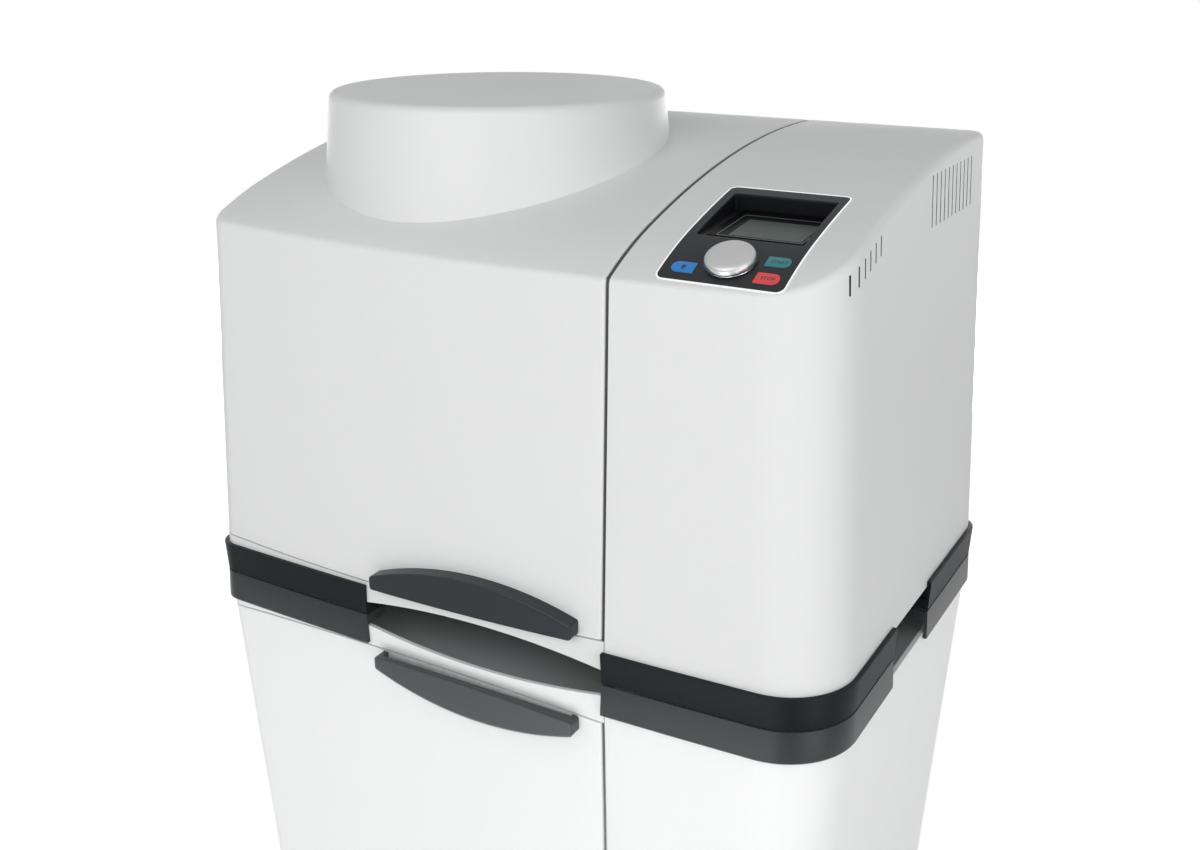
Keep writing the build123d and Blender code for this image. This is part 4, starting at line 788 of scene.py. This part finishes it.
def seamShadeLipStops(s):   # stations along the seam: y and z, and the way out of the surface
    frontY, frontZ = s["front"]
    creaseZ = crownHeight(s["crease"]) - s["creaseDrop"]
    stops = []
    for z in (s["low"], s["middle"], creaseZ - s["edge"]):
        stops.append(((frontY + s["bow"] + (z - frontZ) * sin(radians(s["draft"])), z), (-1.0, 0.0)))
    run = s["back"] - s["crease"] - s["edge"]
    for step in range(s["steps"] + 1):
        y = s["crease"] + s["edge"] + run * step / s["steps"]
        up = (crownHeight(y + s["probe"]) - crownHeight(y - s["probe"])) / (2 * s["probe"])
        size = hypot(up, 1.0)
        stops.append(((y, crownHeight(y)), (-up / size, 1.0 / size)))
    return stops


def makeSeamShadeLip(s):
    bm = bmesh.new()
    bmesh.ops.create_grid(bm, x_segments=1, y_segments=1, size=0.5)
    bm.faces.ensure_lookup_table()
    end = bm.faces[0]
    marks = {vert: (int(vert.co.x > 0), int(vert.co.y > 0)) for vert in end.verts}
    for number, ((y, z), (outY, outZ)) in enumerate(seamShadeLipStops(s)):
        if number:
            made = bmesh.ops.extrude_face_region(bm, geom=[end])
            fresh = {vert.co.to_tuple(6): vert for vert in newVerts(made)}
            marks = {fresh[vert.co.to_tuple(6)]: mark for vert, mark in marks.items()}
            old = end
            end = next(g for g in made["geom"] if isinstance(g, bmesh.types.BMFace))
            if number > 1:
                bmesh.ops.delete(bm, geom=[old], context="FACES_ONLY")
        for vert, (across, inward) in marks.items():
            deep = s["deep"][inward]
            vert.co = (s["x"][across], y - outY * deep, z - outZ * deep)
    finishPiece(bm, "seam_shade_lip", "base", ["sealRubber"], s["sharp"])


makeSeamShadeLip(seamShadeLip)
print("stage: seam gasket")

# a socket head screw; all but the segments are shares of its radius or height
screwForm = {"segments": 24, "rim": 0.16, "inset": 0.34, "hexagon": 0.5, "deep": 0.6, "topFrom": 0.9}


def addScrew(bm, place, axis, radius, height, s):
    part = bmesh.new()
    bmesh.ops.create_cone(part, cap_ends=True, segments=s["segments"], radius1=radius, radius2=radius, depth=height,
                          matrix=Matrix.Translation((0, 0, height / 2)))
    rim = [e for e in part.edges if all(v.co.z > height * s["topFrom"] for v in e.verts)]
    bmesh.ops.bevel(part, geom=rim, offset=radius * s["rim"], segments=2, profile=0.5, affect="EDGES", material=-1)
    top = max(part.faces, key=lambda f: f.calc_center_median().z + f.calc_area())
    bmesh.ops.inset_region(part, faces=[top], thickness=radius * s["inset"])
    for vert in top.verts:   # the loop round the recess becomes a hexagon
        turn = atan2(vert.co.y, vert.co.x)
        reach = radius * s["hexagon"] * cos(pi / 6) / cos((turn % (pi / 3)) - pi / 6)
        vert.co.x, vert.co.y = reach * cos(turn), reach * sin(turn)
    made = bmesh.ops.extrude_face_region(part, geom=[top])
    bmesh.ops.translate(part, vec=(0, 0, -height * s["deep"]), verts=newVerts(made))
    bmesh.ops.delete(part, geom=[top], context="FACES_ONLY")
    turned = Vector((0, 0, 1)).rotation_difference(Vector(axis)).to_matrix().to_4x4()
    bmesh.ops.transform(part, matrix=Matrix.Translation(place) @ turned, verts=part.verts)
    mesh = bpy.data.meshes.new("screwPart")
    part.to_mesh(mesh)
    part.free()
    bm.from_mesh(mesh)
    bpy.data.meshes.remove(mesh)


def screwSet(name, body, material, axis, groups):   # groups of places with one radius and height
    bm = bmesh.new()
    for places, (radius, height) in groups:
        for place in places:
            addScrew(bm, place, axis, radius, height, screwForm)
    finishPiece(bm, name, body, [material])


def backGrid(xs, y, zs):
    return [(x, y, z) for x in xs for z in zs]


def topGrid(centre, xs, ys, z):
    return [(centre[0] + x, centre[1] + y, z) for x in xs for y in ys]


def topRing(centre, radius, angles, z):
    return [(centre[0] + radius * cos(radians(a)), centre[1] + radius * sin(radians(a)), z) for a in angles]


# screws on the back, in metres, and each screw's radius and height
rearPanelScrews = {"x": (0.140, 0.258), "y": 0.2135, "z": (0.064, 0.193, 0.322), "screw": (0.0032, 0.0019)}
inletScrews = {"x": (0.151, 0.189), "y": 0.2155, "z": (0.092,), "screw": (0.0021, 0.0010)}
fanScrews = {"x": (0.163, 0.235), "y": 0.2140, "z": (0.226, 0.298), "screw": (0.0030, 0.0028)}
coverScrews = {"x": (-0.272, -0.096, 0.098), "y": 0.2135, "z": (0.056, 0.352), "screw": (0.0034, 0.0018)}
backSets = {"rear_panel_screws": (rearPanelScrews, inletScrews, fanScrews), "rear_cover_screws": (coverScrews,)}
for setName, members in backSets.items():
    screwSet(setName, "base", "zincSteel", (0, 1, 0), [(backGrid(s["x"], s["y"], s["z"]), s["screw"]) for s in members])

upright = {
    "flangeBolts": {"body": "base", "places": topRing(stationCentre, 0.046, range(0, 360, 60), 0.090),
                    "screw": (0.0048, 0.005)},
    "bridgeBolts": {"body": "base", "places": topGrid(stationCentre, (-0.055, 0.055), (-0.078, 0.078), 0.082),
                    "screw": (0.0055, 0.005)},
    "motorBolts": {"body": "base", "places": topGrid(motorCentre, (-0.054, 0.054), (-0.054, 0.054), 0.098),
                   "screw": (0.0048, 0.005)},
    "motorTableBolts": {"body": "base", "places": topGrid(motorCentre, (-0.068,), (-0.068, 0.068), 0.088),
                        "screw": (0.0048, 0.004)},
    "counterweightBolts": {"body": "sun", "places": topRing(stationCentre, 0.093, (60, 90, 120), 0.171),
                           "screw": (0.0060, 0.006)},
    "wheelHubBolt": {"body": "sun", "places": topGrid(stationCentre, (0.0,), (0.0,), 0.1575), "screw": (0.0090, 0.006)},
    "hingeFootBolts": {"body": "base", "screw": (0.0036, 0.0035),
                       "places": topGrid((0.0, 0.1575), (-0.252, -0.220, 0.014, 0.046), (-0.016, 0.016), 0.205)},
    "basinScrews": {"body": "base", "finish": "zincSteel", "screw": (0.0026, 0.0016),
                    "places": topRing(stationCentre, 0.156, (25, 65, 115, 155, 205, 245, 295, 335), 0.2025)},
}
for setName, s in upright.items():
    screwSet(setName, s["body"], s.get("finish", "blackSteel"), (0, 0, 1), [(s["places"], s["screw"])])
print("stage: screws")
